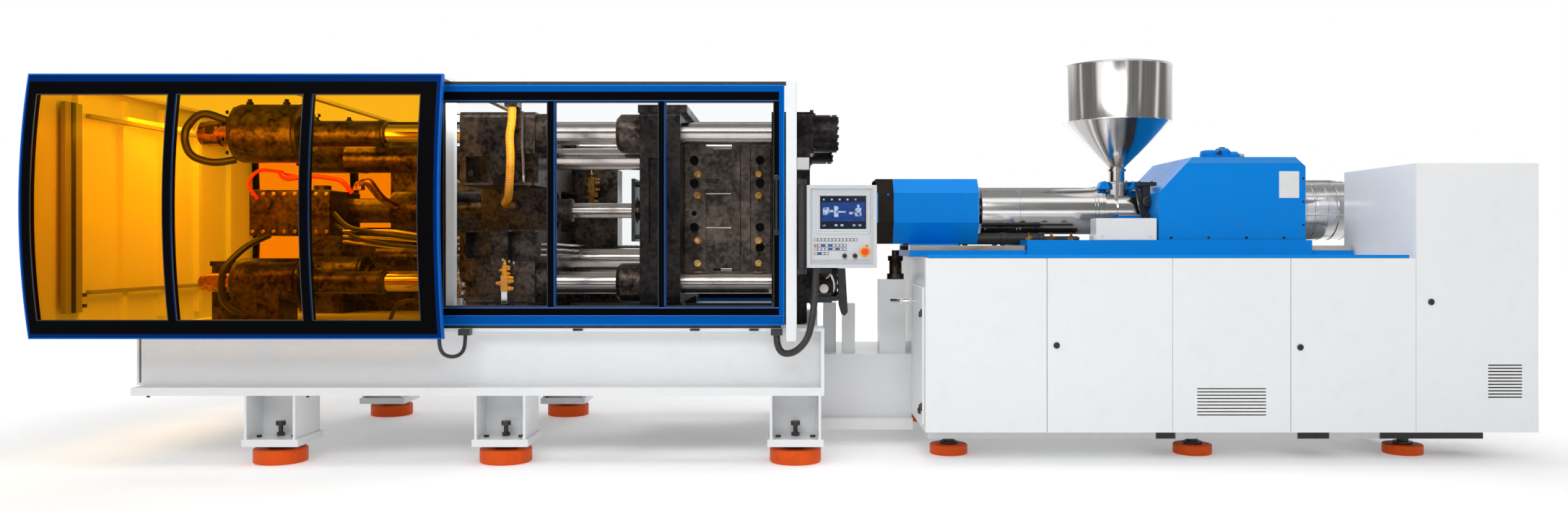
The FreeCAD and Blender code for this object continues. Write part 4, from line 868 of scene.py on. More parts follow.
for name, side in (("front", -1), ("rear", 1)):
    window_lips("guard_%s_seals" % name, GUARD_OPENINGS, GUARD_SILL, GUARD_LINTEL,
                lambda z: bow_front(z) - 0.002, side, "root")
    window_lips("%s_gate_seals" % name, GATE_OPENINGS, GATE_SILL, GATE_LINTEL,
                lambda z: -gate_low[1] - 0.002, side, "%s_gate" % name)
print("bow radius %.2f m" % bow_radius)

# %% [markdown]
# ## Folded edges of the gates
# The sliding gates are folded sheet. A narrow lighter fold along the sill, the lintel and the
# foot, and a black grip rail, make the frames read as folded sheet and not as slabs.

# %% Gate fittings
for name, side in (("front", -1), ("rear", 1)):
    body = "%s_gate" % name
    face = side * -gate_low[1]
    bench = Bench()
    for low_z, high_z in ((GATE_SILL - 0.013, GATE_SILL - 0.006),
                          (GATE_LINTEL + 0.006, GATE_LINTEL + 0.011)):
        bench.block((gate_low[0] + 0.04, face - 0.004, low_z),
                    (gate_high[0] - 0.035, face + 0.004, high_z))
    bench.block((gate_low[0] + 0.002, face - 0.005, gate_low[2] + 0.058),
                (gate_high[0] - 0.002, face + 0.005, gate_low[2] + 0.063))
    bench.done("%s_gate_trim" % name, "blue_paint", body, 0.0012)
    bench = Bench()
    grip_x = gate_high[0] - 0.050
    bench.tube([(grip_x, face, 1.46), (grip_x, face + side * 0.035, 1.46),
                (grip_x, face + side * 0.035, 1.80), (grip_x, face, 1.80)], 0.008, 12, 0.02)
    for z in (1.46, 1.80):
        bench.turned((grip_x, face, z), (0, side, 0), [(0, 0), (0, 0.018), (0.006, 0.018),
                                                      (0.008, 0.012), (0.008, 0)])
    bench.done("%s_gate_grip" % name, "knob_black", body)
print("gate trim on both sides")

# %% [markdown]
# ## Hose and conduits
# Each of the three flexible lines is one smooth spline through the route's points. The tube
# is a mesh of rings along that line, because its ribs are what makes it a hose: the radius
# rises and falls along the way. The spline is evaluated by Blender itself and read back.

# %% Routes in metres
HOSE_ROUTE = [(-1.858, -0.790, 2.2897), (-1.858, -0.790, 2.200), (-1.876, -0.800, 2.100),
              (-1.866, -0.800, 1.985), (-1.870, -0.795, 1.870), (-1.886, -0.760, 1.760),
              (-1.915, -0.660, 1.695), (-1.960, -0.560, 1.672), (-1.990, -0.450, 1.662),
              (-1.990, -0.2683, 1.662)]
PANEL_ROUTE = [(0.134, -1.262, 1.2397), (0.134, -1.262, 1.150), (0.126, -1.257, 1.030),
               (0.112, -1.252, 0.910), (0.084, -1.250, 0.795), (0.010, -1.246, 0.716),
               (-0.070, -1.232, 0.702), (-0.108, -1.212, 0.760), (-0.108, -1.212, 0.8197)]
GUARD_ROUTE = [(-2.158, -1.380, 0.8097), (-2.158, -1.380, 0.760), (-2.136, -1.358, 0.708),
               (-2.090, -1.300, 0.690), (-2.056, -1.240, 0.712), (-2.048, -1.210, 0.765),
               (-2.048, -1.210, 0.8197)]


def smooth_line(name, route):
    """Points along the NURBS line of a route, as Blender evaluates it."""
    curve = bpy.data.curves.new(name, "CURVE")
    curve.dimensions = "3D"
    curve.resolution_u = 24
    spline = curve.splines.new("NURBS")
    spline.points.add(len(route) - 1)
    for point, place in zip(spline.points, route):
        point.co = (*place, 1.0)
    spline.order_u = 3
    spline.use_endpoint_u = True
    holder = bpy.data.objects.new(name, curve)
    scene.collection.objects.link(holder)
    bpy.context.view_layer.update()
    read = bpy.data.meshes.new_from_object(holder)
    line = [vertex.co.copy() for vertex in read.vertices]
    bpy.data.objects.remove(holder)
    bpy.data.meshes.remove(read)
    return line


def evenly(line, step):
    """The same line with points one step apart."""
    spaced = [line[0]]
    for a, b in zip(line, line[1:]):
        while (b - spaced[-1]).length >= step:
            reach = (b - spaced[-1]).normalized() * step
            spaced.append(spaced[-1] + reach)
    spaced.append(line[-1])
    return spaced


def ribbed(name, route, radius, pitch, depth, finish, node, body="root"):
    line = smooth_line(name + "_route", route)
    quarter = pitch / 4
    spaced = evenly(line, quarter)
    wave = [0.0, 0.85, 1.0, 0.85]
    radii = [radius - depth + depth * wave[i % 4] for i in range(len(spaced))]
    bench = Bench()
    bench.sleeve(spaced, radii, 28)
    piece = bench.done(name, finish, body)
    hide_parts(node)
    return piece


ribbed("pressure_hose", HOSE_ROUTE, 0.028, 0.016, 0.0016, "yellow_hose", "hydraulic_hose")
ribbed("guard_cable_conduit", GUARD_ROUTE, 0.012, 0.006, 0.0012, "black_conduit",
       "guard_conduit")
panel_cord = ribbed("panel_cable_conduit", PANEL_ROUTE, 0.022, 0.010, 0.0018, "black_conduit",
                    "control_conduit", body=None)
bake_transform(panel_cord)

# %% [markdown]
# ## Screws of the clamp unit
# A clamp unit is held together by rings of socket-head screws. They are placed by the
# bolt circles and corner patterns of the castings they hold. One function places a ring,
# another a row, and each casting's screws are one piece riding on its body.

# %% Screw patterns
AXIS_HEIGHT = 1.632
BAR_Y, BAR_LOW, BAR_HIGH = 0.55, 1.127, 2.137
PLATEN_SIDE = 0.70


def ring_of_screws(bench, centre, facing, circle, count, radius):
    """Screws on a circle about centre, on a face that looks along X."""
    for i in range(count):
        angle = 2.0 * math.pi * (i + 0.5) / count
        spot = (centre[0], centre[1] + circle * math.cos(angle),
                centre[2] + circle * math.sin(angle))
        bench.screw(spot, facing, radius)


def row_of_screws(bench, first, last, facing, count, radius):
    for i in range(count):
        spot = Vector(first).lerp(Vector(last), i / (count - 1))
        bench.screw(spot, facing, radius)


rear_low, rear_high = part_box("rear_platen")
moving_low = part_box("moving_platen")[0]
nuts_low, nuts_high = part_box("tie_bar_nuts")
FRONT = (0, -1, 0)
TOWARDS_LEFT = (-1, 0, 0)
TOWARDS_RIGHT = (1, 0, 0)

bench = Bench()
for side in (-1, 1):
    out = (0, side, 0)
    for height in (1.86, 1.98, 2.10, 2.22):
        bench.screw((rear_low[0] + 0.075, side * PLATEN_SIDE, height), out, 0.013)
    for height in (1.05, 1.17, 1.29, 1.40):
        bench.screw((rear_high[0] - 0.075, side * PLATEN_SIDE, height), out, 0.013)
for y in (-BAR_Y, BAR_Y):
    for z in (BAR_LOW, BAR_HIGH):
        ring_of_screws(bench, (nuts_high[0] - 0.001, y, z), TOWARDS_RIGHT, 0.105, 12, 0.011)
        for dy in (-0.115, 0.115):
            for dz in (-0.115, 0.115):
                bench.screw((nuts_low[0] + 0.0235, y + dy, z + dz), TOWARDS_RIGHT, 0.012)
bench.done("casting_screws", "dark_steel", "root")

bench = Bench()
for side in (-1, 1):
    out = (0, side, 0)
    row_of_screws(bench, (moving_low[0] + 0.045, side * PLATEN_SIDE, 1.02),
                  (moving_low[0] + 0.045, side * PLATEN_SIDE, 2.24), out, 7, 0.010)
bench.done("moving_platen_screws", "dark_steel", "platen")
print("screws placed")

# %% [markdown]
# ## Cylinder details
# The barrels get clamp rings and rings of screws, and the ram rod gets its nut. The rings are
# turned parts round the existing cylinders, a hair larger, so the cylinders below keep their
# place and size.


# %% Rings on cylinders
def ring(bench, x, y, z, inner, outer, width):
    bench.turned((x, y, z), TOWARDS_RIGHT, [(0, inner), (0, outer - 0.002), (0.002, outer),
                                            (width - 0.002, outer), (width, outer - 0.002),
                                            (width, inner), (0, inner)], 48)


bench = Bench()
for y in (-BAR_Y, BAR_Y):
    for z, housing in ((BAR_HIGH, 0.198), (BAR_LOW, 0.165)):
        barrel_radius = 0.088 if z == BAR_HIGH else 0.075
        ring(bench, -2.815, y, z, barrel_radius - 0.004, barrel_radius + 0.008, 0.030)
        ring(bench, -3.335, y, z, housing - 0.03, housing + 0.004, 0.022)
        ring_of_screws(bench, (-3.274, y, z), TOWARDS_RIGHT, housing - 0.030, 10, 0.010)
        ring_of_screws(bench, (-3.803, y, z), TOWARDS_LEFT, housing - 0.030, 10, 0.010)
ring(bench, -1.640, 0, AXIS_HEIGHT, 0.060, 0.088, 0.020)
ring_of_screws(bench, (-1.806, 0, AXIS_HEIGHT), TOWARDS_RIGHT, 0.118, 12, 0.010)
bench.done("cylinder_rings", "dark_steel", "root")

bench = Bench()
ring(bench, -1.128, 0, AXIS_HEIGHT, 0.050, 0.074, 0.060)
bench.turned((-1.10, 0, AXIS_HEIGHT), TOWARDS_RIGHT, [(0, 0.05), (0, 0.085), (0.04, 0.085),
                                                     (0.04, 0.05), (0, 0.05)], 6)
bench.done("ram_rod_nut", "dark_steel", "platen", 0.002)

# %% [markdown]
# ## Rigid pipework
# Pipes run along the castings with rounded corners, alone and in pairs and threes. They are
# drawn as bent tubes through a handful of corner points, each corner of a pipe being rounded
# alike, as a pipe bender would.

# %% Pipes
PIPE_RADIUS = 0.009
bench = Bench()
for lane in range(3):
    z = 1.372 - 0.036 * lane
    y = -0.715 - 0.012 * lane
    bench.tube([(rear_high[0] - 0.02, y, z + 0.015), (rear_high[0] + 0.04, y, z + 0.015),
                (rear_high[0] + 0.06, 0.800, z), (-1.24, 0.800, z), (-1.24, 0.84, z)],
               PIPE_RADIUS, 10)
for lane in range(3):
    z = 1.480 - 0.036 * lane
    bench.tube([(-3.10, -0.46, z), (-2.75, -0.50, z - 0.02 * lane), (-2.36, -0.60, z - 0.05),
                (-2.24, -0.62, z - 0.05)], 0.010, 10)
bench.tube([(-1.808, -0.722, 2.27), (-1.808, -0.722, 2.05), (-1.800, -0.722, 1.90),
            (-1.800, -0.722, 1.80), (-1.800, -0.60, 1.78)], 0.011, 12)
bench.tube([(-2.62, -0.36, 2.10), (-2.50, -0.40, 1.98), (-2.40, -0.44, 1.86),
            (-2.27, -0.44, 1.80), (-2.24, -0.44, 1.80)], 0.010, 10)
bench.tube([(-2.62, -0.36, 2.24), (-2.46, -0.36, 2.30), (-2.30, -0.30, 2.30),
            (-2.24, -0.30, 2.30)], 0.008, 10)
bench.tube([(-1.80, -0.30, 1.845), (-1.76, -0.34, 1.845), (-1.715, -0.345, 1.845)], 0.008, 10)
bench.done("steel_pipes", "ground_steel", "root")

bench = Bench()
bench.tube([(-3.46, -0.30, 1.86), (-3.56, -0.44, 1.88), (-3.48, -0.50, 1.83),
            (-3.30, -0.50, 1.86), (-3.10, -0.50, 1.83), (-3.04, -0.46, 1.74)], 0.017, 14, 0.08)
bench.tube([(-3.70, -0.44, 1.70), (-3.74, -0.52, 1.80), (-3.66, -0.52, 1.90),
            (-3.52, -0.44, 1.885)], 0.012, 12, 0.07)
bench.done("red_hydraulic_lines", "signal_red", "root")

bench = Bench()
bench.tube([(-3.82, -0.62, 2.22), (-3.98, -0.66, 2.28), (-4.10, -0.66, 2.14),
            (-4.06, -0.66, 1.98), (-3.92, -0.62, 1.93), (-3.78, -0.58, 1.96)], 0.026, 16, 0.12)
bench.tube([(-3.60, -0.48, 1.45), (-3.70, -0.60, 1.38), (-3.80, -0.74, 1.22),
            (-3.80, -0.74, 1.02), (-3.72, -0.72, 0.93), (-3.58, -0.60, 0.90),
            (-3.50, -0.50, 0.862)], 0.022, 16, 0.12)
bench.tube([(-3.18, -0.42, 1.60), (-3.06, -0.50, 1.50), (-2.80, -0.62, 1.46),
            (-2.50, -0.66, 1.42), (-2.26, -0.68, 1.42)], 0.016, 14, 0.10)
bench.tube([(-3.18, -0.40, 1.52), (-2.98, -0.52, 1.42), (-2.70, -0.64, 1.38),
            (-2.44, -0.68, 1.36), (-2.25, -0.68, 1.36)], 0.014, 14, 0.10)
bench.tube([(-2.70, -0.70, 0.87), (-2.64, -0.72, 1.00), (-2.52, -0.72, 1.02),
            (-2.42, -0.70, 0.94), (-2.40, -0.68, 0.862)], 0.013, 14, 0.06)
bench.done("black_hydraulic_lines", "black_conduit", "root")

bench = Bench()
for lane in range(2):
    bench.tube([(-3.05 + 0.04 * lane, -0.34 - 0.05 * lane, 1.80),
                (-2.98 + 0.04 * lane, -0.36 - 0.05 * lane, 1.83),
                (-2.90 + 0.03 * lane, -0.30 - 0.05 * lane, 1.70),
                (-2.84 + 0.03 * lane, -0.18 - 0.05 * lane, 1.66)], 0.022, 16, 0.06)
for x, y, z in ((-3.05, -0.34, 1.762), (-3.01, -0.39, 1.762)):
    bench.stepped((x, y, z), (0, 0, 1), (0.032, 0.026), (0.024, 0.046), 6)
bench.done("pressure_stubs", "bronze", "root", 0.001)
print("pipework ready")

# %% [markdown]
# ## Valves and fittings
# Small brass and plated fittings are what makes a machine look used: quick couplings on the
# mould's cooling circuits, a lubrication block near the gate and valves on the manifold.
# Each is a short stack of hexagons and cylinders.


# %% Fitting shapes
def coupling(bench, place, facing, size=1.0):
    """Cooling-water coupling: hexagon, collar and tapered barb."""
    steps = ((0, 0.017, 0.016, 6), (0.016, 0.012, 0.006, 20), (0.022, 0.015, 0.020, 20),
             (0.042, 0.009, 0.026, 20))
    ahead = Vector(facing)
    for start, radius, length, sides in steps:
        foot = Vector(place) + ahead * start * size
        bench.rod(foot, foot + ahead * length * size, radius * size, sides)


def elbow_fitting(bench, place, size=1.0):
    """Upright valve: block body, two side nuts and a cap."""
    x, y, z = place
    s = size
    bench.block((x - 0.018 * s, y - 0.018 * s, z - 0.045 * s), (x + 0.018 * s, y + 0.018 * s,
                                                                z + 0.040 * s))
    for lift, side in ((0.028, 1), (0.0, -1), (-0.028, 1), (0.010, 1)):
        foot = Vector((x + side * 0.018 * s, y, z + lift * s))
        bench.turned(foot, (side, 0, 0), [(0, 0), (0, 0.013 * s), (0.014 * s, 0.013 * s),
                                          (0.016 * s, 0.009 * s), (0.028 * s, 0.009 * s),
                                          (0.028 * s, 0)], 6)
    bench.turned((x, y, z + 0.040 * s), (0, 0, 1), [(0, 0), (0, 0.015 * s), (0.018 * s, 0.015 * s),
                                                    (0.024 * s, 0.008 * s), (0.046 * s, 0.006 * s),
                                                    (0.046 * s, 0)], 16)


FINISHES["brass"] = casting("brass", (0.55, 0.24, 0.04), (0.95, 0.62, 0.22), rough=(0.14, 0.3),
                            metal=1.0, grain=140.0)
MOULD_SIDE = 0.420
MOULD_FITTING_HEIGHTS = (1.869, 1.722, 1.413, 1.257)
MOVING_FIT_X = -0.663
FIXED_FIT_X = -0.245

for half, x, body in (("moving", MOVING_FIT_X, "platen"), ("fixed", FIXED_FIT_X, "root")):
    bench = Bench()
    for side in (-1, 1):
        for height in MOULD_FITTING_HEIGHTS:
            coupling(bench, (x, side * MOULD_SIDE, height), (0, side, 0), 1.5)
    bench.done(half + "_mould_couplings", "brass", body)

# %% Mould plates and the eyebolt's boss
bench = Bench()
for side in (-1, 1):
    for height in (1.205, 1.395, 1.790, 2.030):
        bench.block((MOVING_FIT_X + 0.045, side * 0.396, height - 0.020),
                    (MOVING_FIT_X + 0.105, side * 0.4235, height + 0.020))
    row_of_screws(bench, (-0.742, side * MOULD_SIDE, 1.23), (-0.742, side * MOULD_SIDE, 2.03),
                  (0, side, 0), 6, 0.008)
bench.disc((-0.69, 0.0, 2.075), (0, 0, 1), 0.022, 0.014, 24)
bench.done("moving_mould_plates", "tool_steel", "platen", 0.002)

bench = Bench()
for side in (-1, 1):
    row_of_screws(bench, (-0.172, side * MOULD_SIDE, 1.23), (-0.172, side * MOULD_SIDE, 2.03),
                  (0, side, 0), 6, 0.008)
    row_of_screws(bench, (-0.395, side * 0.396, 1.26), (-0.395, side * 0.396, 2.00),
                  (0, side, 0), 5, 0.007)
    for height in (1.30, 1.62, 1.94):
        bench.block((-0.330, side * 0.400, height - 0.016),
                    (-0.285, side * 0.4235, height + 0.016))
bench.done("fixed_mould_plates", "tool_steel", "root", 0.002)

# %% Lubrication block and valves by the gate
bench = Bench()
for x, z, size in ((-2.235, 1.075, 0.9), (-2.190, 1.045, 1.0), (-2.150, 1.110, 0.9)):
    elbow_fitting(bench, (x, -0.985, z), size)
bench.done("lubrication_fittings", "brass", "root", 0.0012)
bench = Bench()
bench.block((-2.262, -1.005, 0.992), (-2.118, -0.965, 1.040))
bench.block((-2.215, -1.020, 1.100), (-2.175, -0.985, 1.150))
bench.block((-2.165, -1.010, 1.125), (-2.140, -0.985, 1.160))
for x, z in ((-2.245, 1.140), (-2.205, 1.165), (-2.125, 1.075), (-2.120, 1.130)):
    coupling(bench, (x, -0.995, z), FRONT, 0.9)
bench.tube([(-2.262, -0.99, 1.02), (-2.275, -0.99, 1.16), (-2.215, -0.99, 1.262),
            (-2.165, -0.99, 1.268), (-2.150, -0.99, 1.20)], 0.0035, 8, 0.05)
bench.tube([(-2.118, -0.985, 1.02), (-2.090, -0.985, 0.94), (-2.085, -0.96, 0.87)], 0.006, 8)
bench.done("lubrication_block", "polished_steel", "root", 0.0015)

bench = Bench()
elbow_fitting(bench, (-1.905, -0.800, 1.130), 1.25)
elbow_fitting(bench, (-1.905, -0.800, 1.215), 0.8)
bench.done("orange_valve", "yellow_hose", "root", 0.0015)
bench = Bench()
bench.block((-1.925, -0.815, 0.998), (-1.885, -0.70, 1.075))
for dx, dz in ((-0.012, 0.285), (0.030, 0.275), (0.060, 0.265)):
    bench.disc((-1.905 + dx, -0.80, 0.99 + dz), (0, 0, 1), 0.008, 0.018, 8)
bench.done("orange_valve_foot", "polished_steel", "root", 0.0015)

# %% Brass cluster on the traverse cylinder side
bench = Bench()
RACK_FACE = 0.760
for z, size in ((1.860, 1.4), (1.760, 1.1)):
    elbow_fitting(bench, (-1.60, RACK_FACE - 0.030, z), size)
bench.done("rear_brass_cluster", "brass", "root", 0.0015)

# %% Stretch cylinder head fittings
bench = Bench()
for y in (-BAR_Y, BAR_Y):
    side = -1 if y < 0 else 1
    for x in (-3.70, -3.45):
        bench.stepped((x, y, BAR_HIGH + 0.185), (0, 0, 1), (0.026, 0.030), (0.016, 0.05), 6)
    for x in (-3.72, -3.41):
        bench.screw((x, y + side * 0.17, 0.905), (0, side, 0), 0.012)
    bench.block((-3.985, y - 0.070, BAR_HIGH - 0.075), (-3.880, y + 0.070, BAR_HIGH - 0.045))
    bench.block((-3.960, y - 0.095, BAR_HIGH - 0.010), (-3.905, y - 0.060, BAR_HIGH + 0.040))
bench.done("stretch_head_fittings", "dark_steel", "root", 0.002)

MANIFOLD_FRONT = -0.44
bench = Bench()
for z in (1.735, 1.475):
    row_of_screws(bench, (-3.735, MANIFOLD_FRONT, z), (-3.225, MANIFOLD_FRONT, z), FRONT, 8,
                  0.009)
for z in (1.50, 1.56, 1.66):
    bench.stepped((-3.76, -0.36, z), TOWARDS_LEFT, (0.017, 0.016), (0.010, 0.030), 6)
bench.screw((-3.36, MANIFOLD_FRONT, 1.61), FRONT, 0.010)
bench.done("manifold_screws", "ground_steel", "root")
print("fittings ready")

# %% [markdown]
# ## Operator panel
# The panel is a shallow silver box: a rounded rim, a sunk fascia, a bezel round the screen
# and rows of flat keys below it. Printed legends would be lettering, so the keys carry only
# plain tints. The screen shows a generic machine diagram made of soft-edged blocks.

# %% Rim, fascia and bezel
panel_low, panel_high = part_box("panel_housing")
screen_low, screen_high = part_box("panel_screen")
PANEL_FACE = panel_low[1]


def frame_of(bench, low_x, high_x, low_z, high_z, width, near, far):
    """Four bars round a rectangle, as one mitred ring."""
    outer = [(low_x, low_z), (high_x, low_z), (high_x, high_z), (low_x, high_z)]
    inner = [(low_x + width, low_z + width), (high_x - width, low_z + width),
             (high_x - width, high_z - width), (low_x + width, high_z - width)]
    for i in range(4):
        j = (i + 1) % 4
        bench.plate([outer[i], outer[j], inner[j], inner[i]], 1, near, far)


HINGE_STRIP = 0.052
fascia_left = panel_low[0] + HINGE_STRIP
bench = Bench()
frame_of(bench, fascia_left, panel_high[0] - 0.001, panel_low[2] + 0.001,
         panel_high[2] - 0.001, 0.022, PANEL_FACE + 0.006, PANEL_FACE - 0.010)
frame_of(bench, fascia_left + 0.030, panel_high[0] - 0.034, panel_low[2] + 0.034,
         panel_high[2] - 0.030, 0.006, PANEL_FACE + 0.002, PANEL_FACE - 0.004)
frame_of(bench, screen_low[0] - 0.022, screen_high[0] + 0.022, screen_low[2] - 0.030,
         screen_high[2] + 0.018, 0.014, PANEL_FACE + 0.004, PANEL_FACE - 0.006)
bench.block((fascia_left + 0.036, PANEL_FACE - 0.007, panel_low[2] + 0.046),
            (panel_high[0] - 0.040, PANEL_FACE + 0.002, panel_low[2] + 0.050))
bench.done("panel_rim", "panel_grey", "panel", 0.002)

# %% Keys
key_pitch, key_width, key_height = 0.0222, 0.0165, 0.0125
key_rows = (panel_low[2] + 0.166, panel_low[2] + 0.132, panel_low[2] + 0.110,
            panel_low[2] + 0.082)
KEY_COUNTS = (12, 9, 9, 4)
BLUE_KEYS = ((1, 2), (1, 4), (2, 4), (2, 6), (3, 1))
key_tints = {"panel_grey": [], "blue_paint": []}
for row, (z, count) in enumerate(zip(key_rows, KEY_COUNTS)):
    for column in range(count):
        tint = "blue_paint" if (row, column) in BLUE_KEYS else "panel_grey"
        key_tints[tint].append((fascia_left + 0.047 + column * key_pitch, z))
for tint, places in key_tints.items():
    bench = Bench()
    for x, z in places:
        bench.block((x, PANEL_FACE - 0.0035, z),
                    (x + key_width, PANEL_FACE + 0.001, z + key_height))
    bench.done("keys_" + tint, tint, "panel", 0.0012)
FINISHES["key_slots"] = paint("key_slots", (0.11, 0.115, 0.12), rough=0.5, drift=0.3, coat=0.0)
bench = Bench()
for z, count in zip(key_rows, KEY_COUNTS):
    bench.block((fascia_left + 0.0445, PANEL_FACE - 0.0012, z - 0.0025),
                (fascia_left + 0.0445 + count * key_pitch, PANEL_FACE + 0.001,
                 z + key_height + 0.0025))
bench.done("key_slots", "key_slots", "panel")
bench = Bench()
for x, z in ((fascia_left + 0.045, key_rows[0]), (panel_high[0] - 0.068, key_rows[0])):
    bench.disc((x + 0.006, PANEL_FACE, z - 0.030), FRONT, 0.006, 0.004, 16)
bench.done("panel_lamps", "signal_red", "panel")

# %% Stop button plate
stop_low, stop_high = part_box("emergency_stop")
stop_x, stop_z = (stop_low[0] + stop_high[0]) / 2, (stop_low[2] + stop_high[2]) / 2
FINISHES["stop_yellow"] = paint("stop_yellow", (0.90, 0.40, 0.0), rough=0.35, drift=0.1, peel=0.1)
bench = Bench()
bench.turned((stop_x, PANEL_FACE + 0.001, stop_z), FRONT,
             [(0, 0.0135), (0, 0.033), (0.0025, 0.033), (0.0035, 0.031), (0.0035, 0.0135),
              (0, 0.0135)], 40)
bench.done("stop_button_plate", "stop_yellow", "panel")

# %% [markdown]
# ## What the screen shows
# A lit picture: a dark blue field, a lighter machine outline and small status blocks. The
# shapes are soft-edged masks in the screen's own metres, mixed into Emission Color, so the
# picture stays on the glass when the panel turns.

# %% Screen picture
shown = Finish("lit_screen")
screen_x, screen_z = length_place(shown), vertical_place(shown)
wide, tall = screen_high[0] - screen_low[0], screen_high[2] - screen_low[2]


def lit_patch(left, right, low, high, soft=0.0025):
    """1 inside a rectangle given in shares of the screen, with soft edges."""
    x0, x1 = screen_low[0] + wide * left, screen_low[0] + wide * right
    z0, z1 = screen_low[2] + tall * low, screen_low[2] + tall * high
    inside = shown.band(screen_x, x0, x0 + soft) * (1.0 - shown.band(screen_x, x1 - soft, x1))
    inside = inside * shown.band(screen_z, z0, z0 + soft)
    return inside * (1.0 - shown.band(screen_z, z1 - soft, z1))


outline_patches = ((0.06, 0.20, 0.42, 0.66), (0.20, 0.30, 0.50, 0.58), (0.30, 0.40, 0.36, 0.70),
                   (0.40, 0.56, 0.49, 0.55), (0.62, 0.78, 0.44, 0.52), (0.76, 0.90, 0.38, 0.64),
                   (0.80, 0.86, 0.64, 0.74))
status_patches = tuple((0.05 + 0.13 * i, 0.12 + 0.13 * i, 0.08, 0.15) for i in (0, 2, 3, 5, 6))
status_patches += tuple((0.06 + 0.17 * i, 0.11 + 0.17 * i, 0.86, 0.92) for i in range(5))
picture = lit_patch(*outline_patches[0])
for patch in outline_patches[1:] + status_patches:
    picture = picture + lit_patch(*patch)
field = lit_patch(0.02, 0.98, 0.22, 0.82, 0.004)
cloud = shown.noise(46.0, 3.0)
blue_field = shown.blended(cloud, (0.004, 0.022, 0.13), (0.012, 0.075, 0.36))
backdrop = shown.blended(field, (0.003, 0.006, 0.018), blue_field)
glow_colour = shown.blended((picture * shown.band(cloud, 0.30, 0.50)).maths("MINIMUM", 1.0),
                            backdrop, (0.55, 0.68, 0.85))
FINISHES["screen_glass"] = shown.surface(Base_Color=(0.004, 0.006, 0.012), Roughness=0.10,
                                         Emission_Color=glow_colour, Emission_Strength=0.85)
dressed("panel_screen", FINISHES["screen_glass"])

# %% Hinge side of the panel
# The left strip of the housing is the black hinge side; the silver fascia starts beside it.
housing = Finish("housing_paint")
beside_hinge = housing.band(length_place(housing), fascia_left - 0.001, fascia_left)
housing_cloud = housing.noise(9.0, 5.0)
FINISHES["housing_paint"] = housing.surface(
    Base_Color=housing.blended(
        beside_hinge, housing.blended(housing_cloud, (0.006, 0.006, 0.006), (0.030, 0.027, 0.025)),
        housing.blended(housing_cloud, (0.53, 0.55, 0.57), (0.58, 0.60, 0.62))),
    Roughness=housing.between(housing_cloud, 0.32, 0.44), Coat_Weight=0.2)
dressed("panel_housing", FINISHES["housing_paint"])
print("operator panel ready")

# %% [markdown]
# ## Injection cover
# The blue cover over the screw drive is folded sheet: its roof is a separate strip in a lighter
# blue, a painted highlight along the fold, and small screws hold it along the foot and the right
# end. The plate at the right stays blank. On its roof sits a small hydraulic motor.

# %% Cover folds
cover_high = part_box("injection_cover")[1]
# A lighter blue for the folds: painted highlight where the sheet bends.
FINISHES["cover_fold_highlight"] = paint("cover_fold_highlight", (0.02, 0.26, 0.70), rough=0.28, drift=0.10)
bench = Bench()
for side in (-1, 1):
    face = side * cover_high[1]
    bench.plate([(2.748, cover_high[2] - 0.001), (3.456, cover_high[2] - 0.001), (3.506, 1.944),
                 (2.706, 1.944)], 1, face - side * 0.002, face + side * 0.0016)
bench.done("cover_roof_fold", "cover_fold_highlight", "carriage", 0.0008)

bench = Bench()
for side in (-1, 1):
    face = side * cover_high[1]
    for x in (2.60, 2.86, 3.12, 3.38):
        bench.screw((x, face, 1.432), (0, side, 0), 0.006)
    for z in (1.52, 1.68, 1.84):
        bench.screw((3.512, face, z), (0, side, 0), 0.005)
bench.done("cover_screws", "dark_steel", "carriage")

FINISHES["blank_plate"] = paint("blank_plate", (0.80, 0.80, 0.79), rough=0.45, drift=0.08,
                                peel=0.1)
bench = Bench()
bench.block((3.345, -0.4425, 1.706), (3.483, -0.4395, 1.890))
for x in (3.353, 3.475):
    for z in (1.714, 1.882):
        bench.turned((x, -0.4425, z), FRONT,
                     [(0, 0), (0, 0.0035), (0.0015, 0.003), (0.0015, 0)], 12)
bench.done("blank_data_plate", "blank_plate", "carriage", 0.001)

# %% Hydraulic motor on the roof
roof = cover_high[2]
bench = Bench()
for x, radius, height in ((2.965, 0.062, 0.070), (3.055, 0.058, 0.084), (3.130, 0.050, 0.060)):
    bench.turned((x, -0.16, roof - 0.002), (0, 0, 1),
                 [(0, 0), (0, radius), (height - 0.02, radius), (height, radius - 0.02),
                  (height, 0)], 32)
bench.block((2.925, -0.235, roof - 0.002), (3.150, -0.085, roof + 0.034))
bench.turned((2.905, -0.16, roof + 0.034), TOWARDS_RIGHT, [(0, 0), (0, 0.030), (0.05, 0.034),
                                                          (0.05, 0)], 24)
bench.done("roof_motor", "sky_blue_paint", "carriage", 0.004)
bench = Bench()
bench.disc((3.055, -0.16, roof + 0.080), (0, 0, 1), 0.022, 0.010, 6)
bench.disc((3.010, -0.225, roof + 0.048), FRONT, 0.016, 0.018, 6)
bench.done("roof_motor_plugs", "black_steel", "carriage", 0.001)
bench = Bench()
bench.turned((3.150, -0.16, roof + 0.026), TOWARDS_RIGHT, [(0, 0), (0, 0.024), (0.02, 0.024),
                                                          (0.02, 0.018), (0.055, 0.018),
                                                          (0.060, 0.014), (0.060, 0)], 24)
bench.done("roof_motor_fitting", "polished_steel", "carriage")

# %% [markdown]
# ## Barrel, throat and drive
# The barrel cover is rolled from two polished sheets with a seam and end rings. The
# throat block is shiny, with a black slide gate beside it. The drive motor behind the cover
# is a polished shell with shallow bands.

